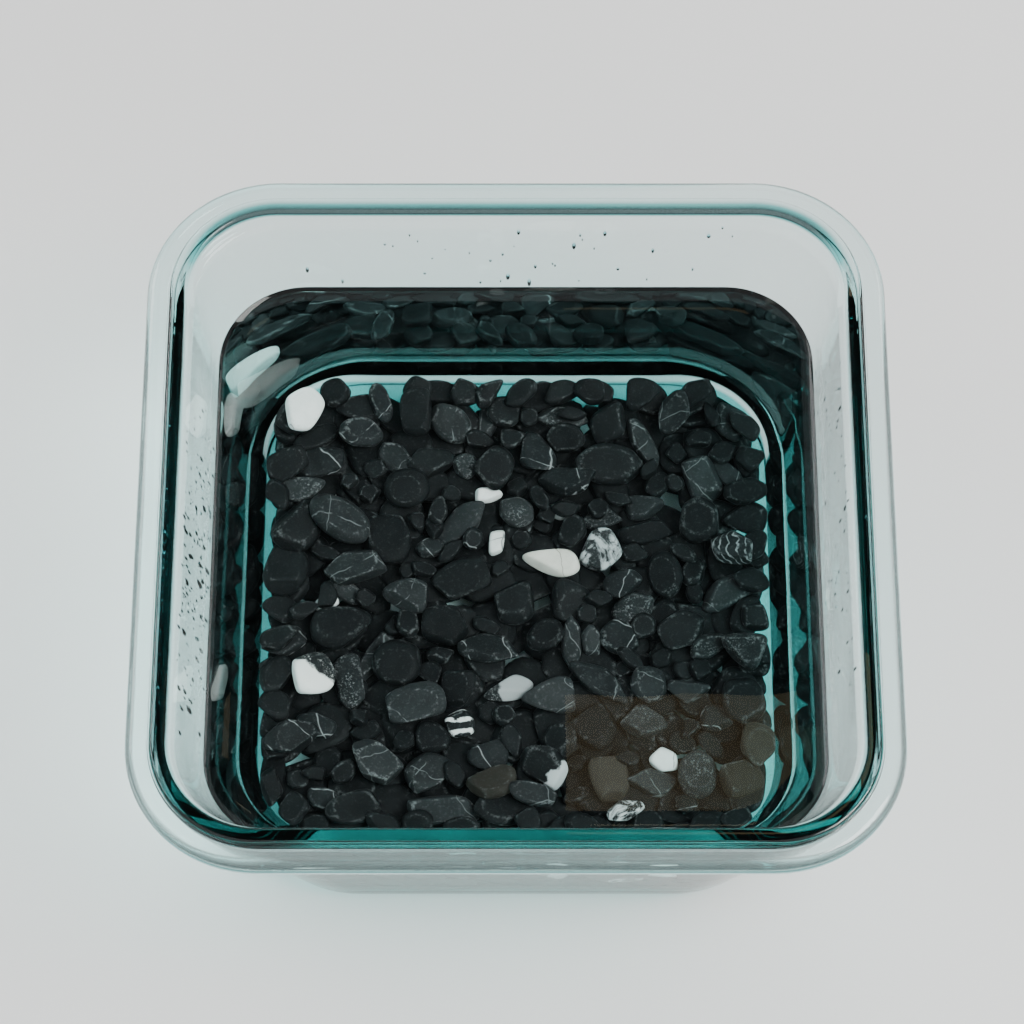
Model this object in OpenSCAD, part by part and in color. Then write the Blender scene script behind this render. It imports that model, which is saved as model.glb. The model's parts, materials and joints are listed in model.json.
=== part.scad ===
// A square glass dish, two thirds full of water, with a bed of small flat tumbled stones under the water.
// Millimetres. The origin is on the table under the middle of the dish, +Z is up, +X runs along the
// front wall to the right, and +Y runs from the front wall to the back wall.

/* [Glass dish] */
// Outside width of the dish at the top of the rim, the same both ways
lip_w = 170; // [160:1:205]
// Height from the table to the top of the rim
dish_h = 85; // [70:1:104]
// Outside width of the dish where it stands on the table
base_w = 137; // [115:1:165]
// Glass thickness at the rim
lip_t = 4.4; // [3.4:0.1:5.2]
// Glass thickness at the foot of the wall
foot_t = 5.4; // [4.4:0.1:6.6]
// Glass thickness of the floor
floor_t = 5.5; // [4.5:0.5:7]
// Outside corner radius of the wall at the rim, seen from above
corner_r = 26; // [22:1:30]
// Outside corner radius of the wall where it stands on the table
base_corner_r = 31; // [26:1:34]
// Radius of the inner edge between the floor and the wall
inner_fillet_r = 5.5; // [4.5:0.5:9]
// Radius of the outer edge between the base and the wall
foot_fillet_r = 5; // [3:0.5:6]
// Radius that softens both edges of the rim
lip_round_r = 1.2; // [0.6:0.1:1.5]

/* [Outer flange] */
// How far the flange stands out from the wall at the rim
flange_out = 5.6; // [4:0.1:7]
// How far the top of the flange lies below the top of the rim
flange_drop = 0.9; // [0.5:0.1:2]
// Height of the flange from its top to its underside
flange_t = 5.6; // [4:0.2:8]

/* [Water] */
// Depth of the water surface below the top of the rim
water_down = 29.4; // [24:0.2:36]

/* [Stone bed] */
// Smallest gap left between any two stones
stone_gap = 0.06; // [0.04:0.01:0.2]
// Grid pitch of the floor layer of stones
floor_pitch = 14; // [13:0.25:17]
// Grid pitch of the middle layer of stones
middle_pitch = 9.75; // [9.5:0.25:13]
// Grid pitch at which stones are dropped between the top stones
filler_pitch = 7; // [6.5:0.25:10]
// Grid pitch at which stones are dropped along the walls
edge_pitch = 5; // [4.5:0.25:8]
// Grid pitch at which small stones are dropped into the last gaps
gap_pitch = 4; // [4:0.25:8]
// Thickness of a top stone as a share of its width
flatness = 0.42; // [0.36:0.01:0.5]
// Number that picks one random order of the hidden stones out of many
bed_seed = 11; // [1:1:40]

/* [Hidden] */
// Straight segments in a full circle at the corners of the glass
corner_fn = 64;
// Straight segments round a stone in the mesh
stone_fn = 36;
// Gap between the water and the glass, and between the water and the highest stone
water_film = 0.05;
water_gap = 0.5;
// Extra room kept between a stone and the glass
wall_room = 0.15;
// Overlap that makes a cut run past the face it opens
cut_over = 1;
// Least thickness of a top stone
thin_min = 3;
// How far past its own reach a stone looks for neighbours, which covers its move back inside the wall
near_room = 4;
// How much the heading of the lean changes from one listed stone to the next, in degrees
lean_step = 37;

// The inner wall is a plane that leans outwards: its half width grows by in_slope for each mm of height.
in_top = lip_w / 2 - lip_t;
in_floor = base_w / 2 - foot_t;
in_slope = (in_top - in_floor) / (dish_h - floor_t);
in_corner = corner_r - lip_t;
in_base = in_floor - in_slope * floor_t;
water_z = dish_h - water_down;

// Half width between the inner walls at height z
function in_half(z) = in_base + in_slope * z;

// Centre of the inner fillet's circle, seen in a section through the middle of a wall
fillet_lean = atan(in_slope);
fillet_z = floor_t + inner_fillet_r;
fillet_x = in_half(fillet_z - inner_fillet_r * sin(fillet_lean)) - inner_fillet_r * cos(fillet_lean);
fillet_corner = in_corner - inner_fillet_r * cos(fillet_lean);

// ---- The kinds of top stone ----
BLACK = 0;
GREY = 1;
VEINED = 2;
SPECKLED = 3;
WHITE = 4;
WARM = 5;

// Top stones that lie locked among the others: kind, x, y, length, width and turn from the X axis.
// A stone listed later lies over the ones before it.
SET_STONES = [
    // back row and back left corner
    [BLACK, -52, 48, 12, 6, 30], [BLACK, -59, 11, 15, 12, 90], [BLACK, -55, 22, 16, 11, 50],
    [BLACK, -41, 56, 11, 8, 0], [VEINED, -40, 49, 11, 8, -10], [VEINED, -51, 41, 14, 8, 20],
    [GREY, -17, 52, 12, 9, -40], [VEINED, -35, 57, 12, 5, 105], [GREY, -7, 55, 16, 5, 80],
    [GREY, -31, 42, 11, 7, 130], [BLACK, -22, 41, 12, 8, 10], [SPECKLED, -13, 40, 8, 6, 100],
    [WHITE, -7, 32, 7, 4, 10], [BLACK, -6, 39, 12, 10, 80], [SPECKLED, 0, 27, 10, 8, -50],
    [BLACK, -33, 19, 13, 12, 90], [GREY, -14, 24, 15, 8, 42], [VEINED, -22, 17, 7, 5, 10],
    [WHITE, -5, 18, 7, 4, 80], [VEINED, -11, 19, 6, 5, 90], [SPECKLED, -43, 5, 10, 5, -35],
    [WHITE, -48, 2, 6, 4, 15], [SPECKLED, -55, 33, 12, 7, 15],
    // back right
    [SPECKLED, 12, 54, 13, 6, 0], [BLACK, 24, 52, 12, 9, 70], [GREY, 56, 53, 11, 9, 100],
    [VEINED, 5, 44, 13, 9, 105], [GREY, 33, 46, 15, 5, 120], [BLACK, 24, 40, 17, 11, 0],
    [VEINED, 13, 35, 15, 8, 0], [GREY, 55, 37, 12, 5, 125], [BLACK, 59, 42, 10, 7, 120],
    [GREY, 33, 28, 10, 7, 5], [WHITE, 12, 28, 6, 5, 0], [SPECKLED, 22, 26, 10, 7, 0],
    [BLACK, 33, 21, 13, 6, 8], [BLACK, 59, 25, 12, 9, 0], [BLACK, 47, 24, 12, 10, 80],
    [GREY, 54, 5, 16, 8, 25], [SPECKLED, 30, 0, 11, 8, 30], [VEINED, 27, 7, 10, 7, 20],
    // front left
    [VEINED, -59, -9, 12, 8, 20], [BLACK, -44, -6, 15, 11, 5], [GREY, -36, -13, 16, 5, 58],
    [BLACK, -30, -15, 12, 12, 0], [SPECKLED, -42, -20, 14, 7, 100], [GREY, -22, -44, 12, 9, 40],
    [VEINED, -50, -32, 10, 6, -15], [VEINED, -47, -52, 10, 6, -30], [VEINED, -7, -11, 15, 8, -5],
    [GREY, -18, -55, 17, 9, 0], [BLACK, -3, -55, 15, 10, 5], [VEINED, -7, -40, 10, 9, 0],
    [WARM, -6, -48, 12, 9, 10], [BLACK, -40, -55, 14, 9, 20], [VEINED, -1, -36, 9, 5, 110],
    // middle
    [BLACK, -14, 8, 14, 10, 20], [BLACK, 0, 2, 13, 11, 60], [BLACK, -18, -5, 12, 10, -20],
    [BLACK, 14, 2, 12, 10, 100], [BLACK, 42, -6, 12, 9, 30],
    // front right
    [GREY, 14, -9, 13, 5, 88], [GREY, 19, -9, 8, 5, 100], [VEINED, 26, -8, 10, 9, 0],
    [SPECKLED, 49, -10, 11, 6, 25], [GREY, 21, -20, 17, 7, -38], [GREY, 43, -23, 11, 6, -3],
    [SPECKLED, 32, -31, 11, 8, -15], [VEINED, 50, -30, 8, 7, 0], [BLACK, 57, -26, 12, 11, 90],
    [BLACK, 19, -32, 13, 12, 90], [BLACK, 11, -36, 9, 8, 90], [WARM, 23, -46, 12, 10, 90],
    [GREY, 34, -47, 13, 7, 0], [WARM, 56, -47, 11, 10, 0], [VEINED, 42, -53, 6, 5, 0],
    [GREY, 4, -51, 12, 6, -10], [WARM, 60, -38, 12, 9, 80], [WHITE, 37, -41, 7, 6, -30],
];

// Loose stones on top of the bed, each its own piece that lifts straight out: x, y, length, width, turn.
// None of them lies over another.
WHITE_OVAL = [-56, 55, 13, 10, 75];
BLACK_OBLONG = [-26, 54, 13, 8, 90];
GREY_LEAF = [41, 54, 13, 8, 70];
ROUND_BLACK = [-28, 33, 12, 11, 0];
GREY_OVAL = [-45, 24, 18, 11, -35];
LONG_GREY = [-41, 11, 16, 9, 10];
GREY_WEDGE = [-28, 3, 12, 10, 0];
GREY_OBLONG = [48, 36, 13, 9, 110];
MARBLED_GREY = [22, 16, 12, 10, 60];
CREAM_DROP = [9, 13, 15, 8, -12];
BLACK_OVAL = [38, 9, 13, 9, 100];
STRIPED_GREY = [55, 15, 12, 9, -20];
MARBLED_WHITE = [-51, -19, 13, 12, 60];
GREY_SLAB = [-25, -26, 15, 10, 15];
VEINED_LENS = [-56, -36, 15, 9, 20];
GREY_BROAD = [-35, -42, 14, 10, -30];
STRIPED_WHITE = [-14, -31, 8, 8, 0];
PALE_LENS = [-2, -22, 13, 7, 20];
QUARTZ_WEDGE = [57, -12, 12, 10, -30];
GREY_ROUND = [33, -21, 10, 9, 100];
GREY_CORNERED = [8, -24, 14, 10, 5];
VEINED_WEDGE = [7, -43, 13, 10, -45];
QUARTZ_EGG = [45, -45, 13, 10, 95];
WHITE_RINGED = [27, -56, 10, 6, 15];
LOOSE = [
    WHITE_OVAL, BLACK_OBLONG, GREY_LEAF, ROUND_BLACK, GREY_OVAL, LONG_GREY, GREY_WEDGE, GREY_OBLONG,
    MARBLED_GREY, CREAM_DROP, BLACK_OVAL, STRIPED_GREY, MARBLED_WHITE, GREY_SLAB, VEINED_LENS,
    GREY_BROAD, STRIPED_WHITE, PALE_LENS, QUARTZ_WEDGE, GREY_ROUND, GREY_CORNERED, VEINED_WEDGE,
    QUARTZ_EGG, WHITE_RINGED,
];

// ---- How one stone touches another ----
// A stone is an ellipsoid. Its reach in a direction n, from its centre to the plane that just touches it,
// is the square root of n * M * n, with M = R * diag(semi axes squared) * R transposed.
// M is stored as [xx, xy, yy, xz, yz, zz].
function reach(m, u, v, w) =
    sqrt(m[0]*u*u + 2*m[1]*u*v + m[2]*v*v + 2*w*(m[3]*u + m[4]*v) + m[5]*w*w);

// Axes of a stone turned about Z and then tipped by tilt towards the heading lean
function axes(turn, tilt, lean) =
    let (
        kx = -sin(lean), ky = cos(lean), c = cos(tilt), s = sin(tilt), q = 1 - c,
        tip = [
            [c + q*kx*kx, q*kx*ky, s*ky],
            [q*kx*ky, c + q*ky*ky, -s*kx],
            [-s*ky, s*kx, c],
        ],
        spin = [[cos(turn), -sin(turn), 0], [sin(turn), cos(turn), 0], [0, 0, 1]]
    ) tip * spin;

// The matrix M of a stone with axes r and semi axes s, grown by half the gap between stones
function matrix_of(r, s) =
    let (
        g = stone_gap / 2,
        d = [pow(s[0] + g, 2), pow(s[1] + g, 2), pow(s[2] + g, 2)],
        e = function (i, j) r[i][0]*r[j][0]*d[0] + r[i][1]*r[j][1]*d[1] + r[i][2]*r[j][2]*d[2]
    ) [e(0, 0), e(0, 1), e(1, 1), e(0, 2), e(1, 2), e(2, 2)];

// Height at which stone m must stay above stone n, when dx, dy lead from n to m, for the plane whose
// normal is (u, v, 1) to part them. Any u, v gives a safe height, and the lowest one is contact.
function parting(m, n, dx, dy, u, v) = reach(m, u, v, 1) + reach(n, u, v, 1) - dx*u - dy*v;

// One Newton step of u, v towards the lowest parting height
function step_uv(m, n, dx, dy, u, v) =
    let (
        hm = reach(m, u, v, 1), hn = reach(n, u, v, 1),
        mu = m[0]*u + m[1]*v + m[3], mv = m[1]*u + m[2]*v + m[4],
        nu = n[0]*u + n[1]*v + n[3], nv = n[1]*u + n[2]*v + n[4],
        gu = mu/hm + nu/hn - dx, gv = mv/hm + nv/hn - dy,
        a = m[0]/hm + n[0]/hn - mu*mu/pow(hm, 3) - nu*nu/pow(hn, 3),
        b = m[1]/hm + n[1]/hn - mu*mv/pow(hm, 3) - nu*nv/pow(hn, 3),
        c = m[2]/hm + n[2]/hn - mv*mv/pow(hm, 3) - nv*nv/pow(hn, 3),
        det = a*c - b*b
    ) det < 0.0001 ? [u, v] : [u - (c*gu - b*gv)/det, v - (a*gv - b*gu)/det];

// Slopes of the trial planes, from level to nearly upright
TRIAL_SLOPES = [0, 0.25, 0.55, 1, 1.8, 3.5, 9];

// The lowest safe height of stone m's centre above stone n's
function rise(m, n, dx, dy, floor_rise) =
    let (
        d = max(0.001, norm([dx, dy])),
        hs = [for (t = TRIAL_SLOPES) parting(m, n, dx, dy, t*dx/d, t*dy/d)],
        low = min(hs)
    )
    low < floor_rise ? low :
    let (
        t = TRIAL_SLOPES[search(low, hs)[0]],
        p = step_uv(m, n, dx, dy, t*dx/d, t*dy/d),
        q = step_uv(m, n, dx, dy, p[0], p[1])
    ) min(low, parting(m, n, dx, dy, p[0], p[1]), parting(m, n, dx, dy, q[0], q[1]));

// ---- How a stone meets the glass ----
// Headings all the way round, each with its x part, its y part and their sum, which is how much faster
// a rounded square's corner moves out than its side does
HEADINGS = [for (a = [0 : 22.5 : 337.5]) [cos(a), sin(a), abs(cos(a)) + abs(sin(a))]];

// How far stone m at x, y and height z stands through the wall in one heading
function through_wall(m, x, y, z, h) =
    h[0]*x + h[1]*y - in_slope*h[2]*z + reach(m, h[0], h[1], -in_slope*h[2]) + wall_room
    - ((in_base - in_corner)*h[2] + in_corner);

// A place moved back inside the wall, heading by heading
function kept_in(m, x, y, z, i = 0) =
    i == len(HEADINGS) ? [x, y] :
    let (h = HEADINGS[i], over = max(0, through_wall(m, x, y, z, h)))
    kept_in(m, x - over*h[0], y - over*h[1], z, i + 1);

// The lowest height at which stone m at x, y clears the floor, the walls and the fillet between them
function glass_height(m, x, y) = max(
    floor_t + wall_room/2 + reach(m, 0, 0, 1),
    max([for (h = HEADINGS) through_wall(m, x, y, 0, h) / (in_slope*h[2])]),
    max([for (h = HEADINGS)
        h[0]*x + h[1]*y + reach(m, h[0], h[1], -1) + wall_room
        - ((fillet_x - fillet_corner)*h[2] + fillet_corner) + fillet_z - inner_fillet_r*sqrt(2)])
);

// ---- Dropping the stones one by one ----
// Ways in which a falling stone may come to rest: tilt, and heading of the lean from the stone's own.
// A top stone has more of them to choose from.
TILTS = [[5, 0], [13, 90], [13, 210], [13, 330]];
TOP_TILTS = [[0, 0], [10, 0], [10, 120], [10, 240], [20, 60], [20, 180], [20, 300]];

// One placed stone: centre, M, axes, semi axes, kind, largest semi axis
function settled(bed, x, y, semi, turn, lean, level, kind, tilts) =
    let (
        r = max(semi),
        home = kept_in(matrix_of(axes(turn, 0, 0), semi), x, y, level),
        near = [for (b = bed) if (norm([b[0][0] - home[0], b[0][1] - home[1]]) < r + b[5] + near_room) b],
        rests = [for (t = tilts)
            let (
                ax = axes(turn, t[0], lean + t[1]),
                m = matrix_of(ax, semi),
                at = kept_in(m, home[0], home[1], level),
                base = glass_height(m, at[0], at[1]),
                z = max(base, max([-1, for (b = near)
                    let (dx = at[0] - b[0][0], dy = at[1] - b[0][1])
                    if (norm([dx, dy]) < r + b[5])
                        b[0][2] + rise(m, b[1], dx, dy, base - b[0][2])]))
            ) [[at[0], at[1], z], m, ax, semi, kind, r]],
        heights = [for (s = rests) s[0][2]]
    ) rests[search(min(heights), heights)[0]];

// A grid of places over the dish floor, every other row shifted by half a pitch
function grid(pitch, half) = [
    for (j = [0 : floor(2*half/pitch)], i = [0 : floor(2*half/pitch)])
        [-half + (i + (j % 2)/2)*pitch, -half + j*pitch]
];

// Whether a place lies inside the outline of one of the loose stones, with some room round it
function under_loose(x, y, room) = len([for (s = LOOSE)
    let (c = cos(s[4]), n = sin(s[4]), dx = x - s[0], dy = y - s[1])
    if (pow((c*dx + n*dy)/(s[2]/2 + room), 2) + pow((c*dy - n*dx)/(s[3]/2 + room), 2) < 1) 1]) > 0;

// Random numbers between 0 and 1, one list for each use
function chance(count, use) = rands(0, 1, count, bed_seed*100 + use);

// The value at a share of the way through a range
function between(range, share) = range[0] + (range[1] - range[0])*share;

// Drops one stone near each place, with random size, turn and shift. A stone is kept if its centre comes
// to rest below top.
function layer(bed, places, sizes, shift, level, top, use) =
    let (n = len(places), a = chance(n, use), b = chance(n, use + 1), c = chance(n, use + 2),
        d = chance(n, use + 3), e = chance(n, use + 4), f = chance(n, use + 5))
    [for (i = 0, bed_now = bed; i <= n;
        s = i < n ? settled(bed_now, places[i][0] + (a[i] - 0.5)*shift, places[i][1] + (b[i] - 0.5)*shift,
            [between(sizes[0], c[i]), between(sizes[1], d[i]), between(sizes[2], e[i])] / 2,
            360*f[i], 360*a[i], level, BLACK, TILTS) : undef,
        bed_now = i < n && s[0][2] < top ? concat(bed_now, [s]) : bed_now,
        i = i + 1) if (i == n) bed_now][0];

// Drops the stones of one list of rows, each at its own place
function dropped(bed, rows, level) =
    [for (i = 0, bed_now = bed; i <= len(rows);
        r = rows[i],
        bed_now = i < len(rows) ? concat(bed_now, [settled(bed_now, r[1], r[2],
            [r[3], r[4], max(thin_min, flatness*r[4])] / 2, r[5], lean_step*i, level, r[0], TOP_TILTS)])
            : bed_now,
        i = i + 1) if (i == len(rows)) bed_now][0];

// Heights at which the walls are first met by a stone of the floor layer, the middle layer and the top
floor_level = floor_t + 2;
middle_level = floor_t + 4;
top_level = floor_t + 7.5;
// Greatest centre height of a stone of each layer: a stone that comes to rest above it is left out
floor_top = floor_t + 7;
middle_top = floor_t + 5;
filler_top = floor_t + 7.5;
edge_top = floor_t + 10.5;
gap_top = floor_t + 8.5;

// Range of length, of width and of thickness of the stones that fill the bed
FLOOR_SIZES = [[12, 16], [9, 12], [2.8, 3.8]];
MIDDLE_SIZES = [[8, 12], [6, 9], [2.5, 3.3]];
FILLER_SIZES = [[8.5, 12], [6.5, 9], [2.8, 3.8]];
EDGE_SIZES = [[7, 12], [5.5, 8.5], [2.8, 3.8]];
GAP_SIZES = [[4.8, 8.5], [3.8, 6], [2.2, 3]];
// Widest random shift of a place off its grid: of a hidden layer, and of the stones between the top ones
layer_shift = 3;
gap_shift = 2;

bed_1 = layer([], grid(floor_pitch, in_floor - 3), FLOOR_SIZES, layer_shift, floor_level, floor_top, 0);
bed_2 = layer(bed_1, grid(middle_pitch, in_floor - 1), MIDDLE_SIZES, layer_shift, middle_level,
    middle_top, 10);
bed_3 = dropped(bed_2, SET_STONES, top_level);
filler_places = [for (p = grid(filler_pitch, in_floor)) if (!under_loose(p[0], p[1], 3.5)) p];
edge_places = [for (p = grid(edge_pitch, in_floor + edge_pitch))
    if (max(abs(p[0]), abs(p[1])) > in_floor - edge_pitch && !under_loose(p[0], p[1], 3.5)) p];
gap_places = [for (p = grid(gap_pitch, in_floor + 2)) if (!under_loose(p[0], p[1], 2.5)) p];
bed_f = layer(bed_3, filler_places, FILLER_SIZES, gap_shift, top_level, filler_top, 20);
bed_e = layer(bed_f, edge_places, EDGE_SIZES, gap_shift, top_level, edge_top, 40);
bed_4 = layer(bed_e, gap_places, GAP_SIZES, gap_shift, top_level, gap_top, 30);
bed_5 = dropped(bed_4, [for (s = LOOSE) concat([0], s)], top_level);

// Lists of the stones of each group
floor_stones = bed_1;
middle_stones = [for (i = [len(bed_1) : 1 : len(bed_2) - 1]) bed_2[i]];
set_stones = [for (i = [len(bed_2) : 1 : len(bed_3) - 1]) bed_3[i]];
gap_stones = [for (i = [len(bed_3) : 1 : len(bed_4) - 1]) bed_4[i]];
loose_stones = [for (i = [len(bed_4) : 1 : len(bed_5) - 1]) bed_5[i]];
highest = max([for (s = bed_5) s[0][2] + reach(s[1], 0, 0, 1)]);

// Colours of the glass, the water and the kinds of stone
GLASS_TINT = [0.62, 0.85, 0.84, 0.4];
WATER_TINT = [0.7, 0.85, 0.88, 0.3];
STONE_TINTS = [[0.09, 0.1, 0.11], [0.2, 0.22, 0.23], [0.16, 0.17, 0.18], [0.28, 0.3, 0.31],
    [0.85, 0.84, 0.8], [0.25, 0.21, 0.17]];
CREAM_TINT = [0.8, 0.76, 0.68];
MARBLE_TINT = [0.6, 0.61, 0.61];

// One stone of the bed
module stone(s) {
    a = s[2];
    p = s[0];
    multmatrix([
        [a[0][0], a[0][1], a[0][2], p[0]],
        [a[1][0], a[1][1], a[1][2], p[1]],
        [a[2][0], a[2][1], a[2][2], p[2]],
        [0, 0, 0, 1],
    ])
        scale(s[3]) sphere(r = 1, $fn = stone_fn);
}

module group(stones, tint) {
    color(tint) for (s = stones) stone(s);
}

// The black stones of a layer that lie in one quarter of the dish: sx and sy are the signs of x and y there
module quarter(stones, sx, sy) {
    group([for (s = stones) if ((s[0][0] < 0) == (sx < 0) && (s[0][1] < 0) == (sy < 0)) s],
        STONE_TINTS[BLACK]);
}

module set_group(kind) {
    group([for (s = set_stones) if (s[4] == kind) s], STONE_TINTS[kind]);
}

module loose(i, tint) {
    color(tint) stone(loose_stones[i]);
}

// A thin rounded square plate with half width half and corner radius r, its underside at height z
PLATE_T = 0.01;
module plate(half, r, z) {
    translate([0, 0, z]) linear_extrude(PLATE_T)
        hull() for (x = [-1, 1], y = [-1, 1])
            translate([x*(half - r), y*(half - r)]) circle(r = r, $fn = corner_fn);
}

// The space between the inner walls from height low to height high, narrowed by inset all round.
// Low is above the fillet.
module between_walls(low, high, inset) {
    hull() {
        plate(in_half(low) - inset, in_corner - inset, low);
        plate(in_half(high - PLATE_T) - inset, in_corner - inset, high - PLATE_T);
    }
}

// The whole hollow of the dish, with the fillet round its floor
module hollow() {
    fillet_steps = 5;
    step = (90 - fillet_lean) / fillet_steps;
    hull() {
        for (i = [0 : fillet_steps]) let (a = fillet_lean + i*step)
            plate(fillet_x + inner_fillet_r*cos(a), fillet_corner + inner_fillet_r*cos(a),
                fillet_z - inner_fillet_r*sin(a));
        plate(in_half(dish_h + cut_over), in_corner, dish_h + cut_over);
    }
}

// The dish without its hollow: drafted walls, softened foot and rim
module outer_body() {
    hull() {
        for (a = [0, 30, 60, 90])
            plate(base_w/2 - foot_fillet_r*(1 - sin(a)), base_corner_r - foot_fillet_r*(1 - sin(a)),
                foot_fillet_r*(1 - cos(a)));
        for (a = [0, 45, 90])
            plate(lip_w/2 - lip_round_r*(1 - cos(a)), corner_r - lip_round_r*(1 - cos(a)),
                dish_h - PLATE_T - lip_round_r*(1 - sin(a)));
    }
}

// The flange round the outside of the rim, rounded on its outer edge
module flange() {
    edge_r = flange_t/2;
    top = dish_h - flange_drop;
    hull() for (a = [-90, -60, -30, 0, 30, 60, 90])
        plate(lip_w/2 + flange_out - edge_r*(1 - cos(a)), corner_r + flange_out - edge_r*(1 - cos(a)),
            top - edge_r + edge_r*sin(a) - (a > 0 ? PLATE_T : 0));
}

module glass_dish() {
    color(GLASS_TINT) difference() {
        union() {
            outer_body();
            flange();
        }
        hollow();
    }
}

module water() {
    color(WATER_TINT) between_walls(highest + water_gap, water_z, water_film);
}

module floor_front_left() { quarter(floor_stones, -1, -1); }
module floor_front_right() { quarter(floor_stones, 1, -1); }
module floor_back_left() { quarter(floor_stones, -1, 1); }
module floor_back_right() { quarter(floor_stones, 1, 1); }
module middle_front_left() { quarter(middle_stones, -1, -1); }
module middle_front_right() { quarter(middle_stones, 1, -1); }
module middle_back_left() { quarter(middle_stones, -1, 1); }
module middle_back_right() { quarter(middle_stones, 1, 1); }
module gap_front_left() { quarter(gap_stones, -1, -1); }
module gap_front_right() { quarter(gap_stones, 1, -1); }
module gap_back_left() { quarter(gap_stones, -1, 1); }
module gap_back_right() { quarter(gap_stones, 1, 1); }
module black_pebbles() { set_group(BLACK); }
module grey_pebbles() { set_group(GREY); }
module veined_pebbles() { set_group(VEINED); }
module speckled_pebbles() { set_group(SPECKLED); }
module small_white_pebbles() { set_group(WHITE); }
module warm_grey_pebbles() { set_group(WARM); }
module white_oval() { loose(0, STONE_TINTS[WHITE]); }
module black_oblong() { loose(1, STONE_TINTS[BLACK]); }
module grey_leaf() { loose(2, STONE_TINTS[GREY]); }
module round_black() { loose(3, STONE_TINTS[BLACK]); }
module grey_oval() { loose(4, STONE_TINTS[GREY]); }
module long_grey() { loose(5, STONE_TINTS[GREY]); }
module grey_wedge() { loose(6, STONE_TINTS[GREY]); }
module grey_oblong() { loose(7, STONE_TINTS[GREY]); }
module marbled_grey() { loose(8, MARBLE_TINT); }
module cream_drop() { loose(9, CREAM_TINT); }
module black_oval() { loose(10, STONE_TINTS[BLACK]); }
module striped_grey() { loose(11, STONE_TINTS[VEINED]); }
module marbled_white() { loose(12, MARBLE_TINT); }
module grey_slab() { loose(13, STONE_TINTS[GREY]); }
module veined_lens() { loose(14, STONE_TINTS[VEINED]); }
module grey_broad() { loose(15, STONE_TINTS[GREY]); }
module striped_white() { loose(16, MARBLE_TINT); }
module pale_lens() { loose(17, STONE_TINTS[SPECKLED]); }
module quartz_wedge() { loose(18, STONE_TINTS[SPECKLED]); }
module grey_round() { loose(19, STONE_TINTS[GREY]); }
module grey_cornered() { loose(20, STONE_TINTS[GREY]); }
module veined_wedge() { loose(21, STONE_TINTS[VEINED]); }
module quartz_egg() { loose(22, STONE_TINTS[SPECKLED]); }
module white_ringed() { loose(23, MARBLE_TINT); }

glass_dish();
water();
floor_front_left();
floor_front_right();
floor_back_left();
floor_back_right();
middle_front_left();
middle_front_right();
middle_back_left();
middle_back_right();
gap_front_left();
gap_front_right();
gap_back_left();
gap_back_right();
black_pebbles();
grey_pebbles();
veined_pebbles();
speckled_pebbles();
small_white_pebbles();
warm_grey_pebbles();
white_oval();
black_oblong();
grey_leaf();
round_black();
grey_oval();
long_grey();
grey_wedge();
grey_oblong();
marbled_grey();
cream_drop();
black_oval();
striped_grey();
marbled_white();
grey_slab();
veined_lens();
grey_broad();
striped_white();
pale_lens();
quartz_wedge();
grey_round();
grey_cornered();
veined_wedge();
quartz_egg();
white_ringed();
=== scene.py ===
# %% [markdown]
# # A glass dish of tumbled stones soaking in water
#
# This lesson builds a square glass dish, the water in it and the bed of small flat stones under the
# water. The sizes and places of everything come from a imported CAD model, which is loaded first and is
# never moved. Each step takes one physical thing, says what it is and how it could be made, and then
# works its surface out as whole arrays of numbers.

# %% Load the frame
import json
import math

import bpy
import mathutils
import numpy as np
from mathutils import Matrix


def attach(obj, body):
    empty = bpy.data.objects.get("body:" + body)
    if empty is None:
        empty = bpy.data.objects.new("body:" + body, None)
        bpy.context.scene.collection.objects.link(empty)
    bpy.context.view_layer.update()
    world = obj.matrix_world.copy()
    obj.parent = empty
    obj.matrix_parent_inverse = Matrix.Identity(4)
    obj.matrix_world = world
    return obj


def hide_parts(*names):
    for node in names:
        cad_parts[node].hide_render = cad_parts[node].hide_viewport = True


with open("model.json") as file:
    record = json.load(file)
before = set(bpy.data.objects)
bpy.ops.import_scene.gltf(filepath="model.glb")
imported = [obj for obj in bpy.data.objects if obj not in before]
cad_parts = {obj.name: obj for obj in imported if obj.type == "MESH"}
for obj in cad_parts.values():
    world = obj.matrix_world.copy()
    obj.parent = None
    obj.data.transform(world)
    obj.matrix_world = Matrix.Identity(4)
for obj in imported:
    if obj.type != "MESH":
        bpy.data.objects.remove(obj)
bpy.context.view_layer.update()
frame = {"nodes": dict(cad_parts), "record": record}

MM = 0.001

# %% [markdown]
# ## Small tools
#
# Every new surface is a grid of points worked out as whole arrays. One function turns such a grid into
# quads, another puts points and faces into an object that stands at the origin, and a third one adds
# shader nodes, so that each material below reads as a short list of what it is made of.


# %% Grids and objects
def grid_faces(rows, cols, first=0):
    """Quads between neighbouring rows of a grid whose columns run round a closed ring."""
    r = np.arange(rows - 1)[:, None] * cols + first
    c = np.arange(cols)[None, :]
    n = (c + 1) % cols
    return np.stack([r + c, r + n, r + n + cols, r + c + cols], -1).reshape(-1, 4)


def fan_faces(ring_start, cols, pole, flip):
    """Triangles from one pole point to a closed ring of cols points."""
    c = ring_start + np.arange(cols)
    n = ring_start + (np.arange(cols) + 1) % cols
    p = np.full(cols, pole)
    return np.stack([p, n, c] if flip else [p, c, n], -1)


def make_object(name, points, faces, material):
    """A smooth-shaded mesh object at the origin, from points in metres and a list of face arrays."""
    mesh = bpy.data.meshes.new(name)
    mesh.from_pydata(points.tolist(), [], [f for part in faces for f in part.tolist()])
    mesh.shade_smooth()
    obj = bpy.data.objects.new(name, mesh)
    bpy.context.scene.collection.objects.link(obj)
    mesh.materials.append(material)
    return obj


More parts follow.
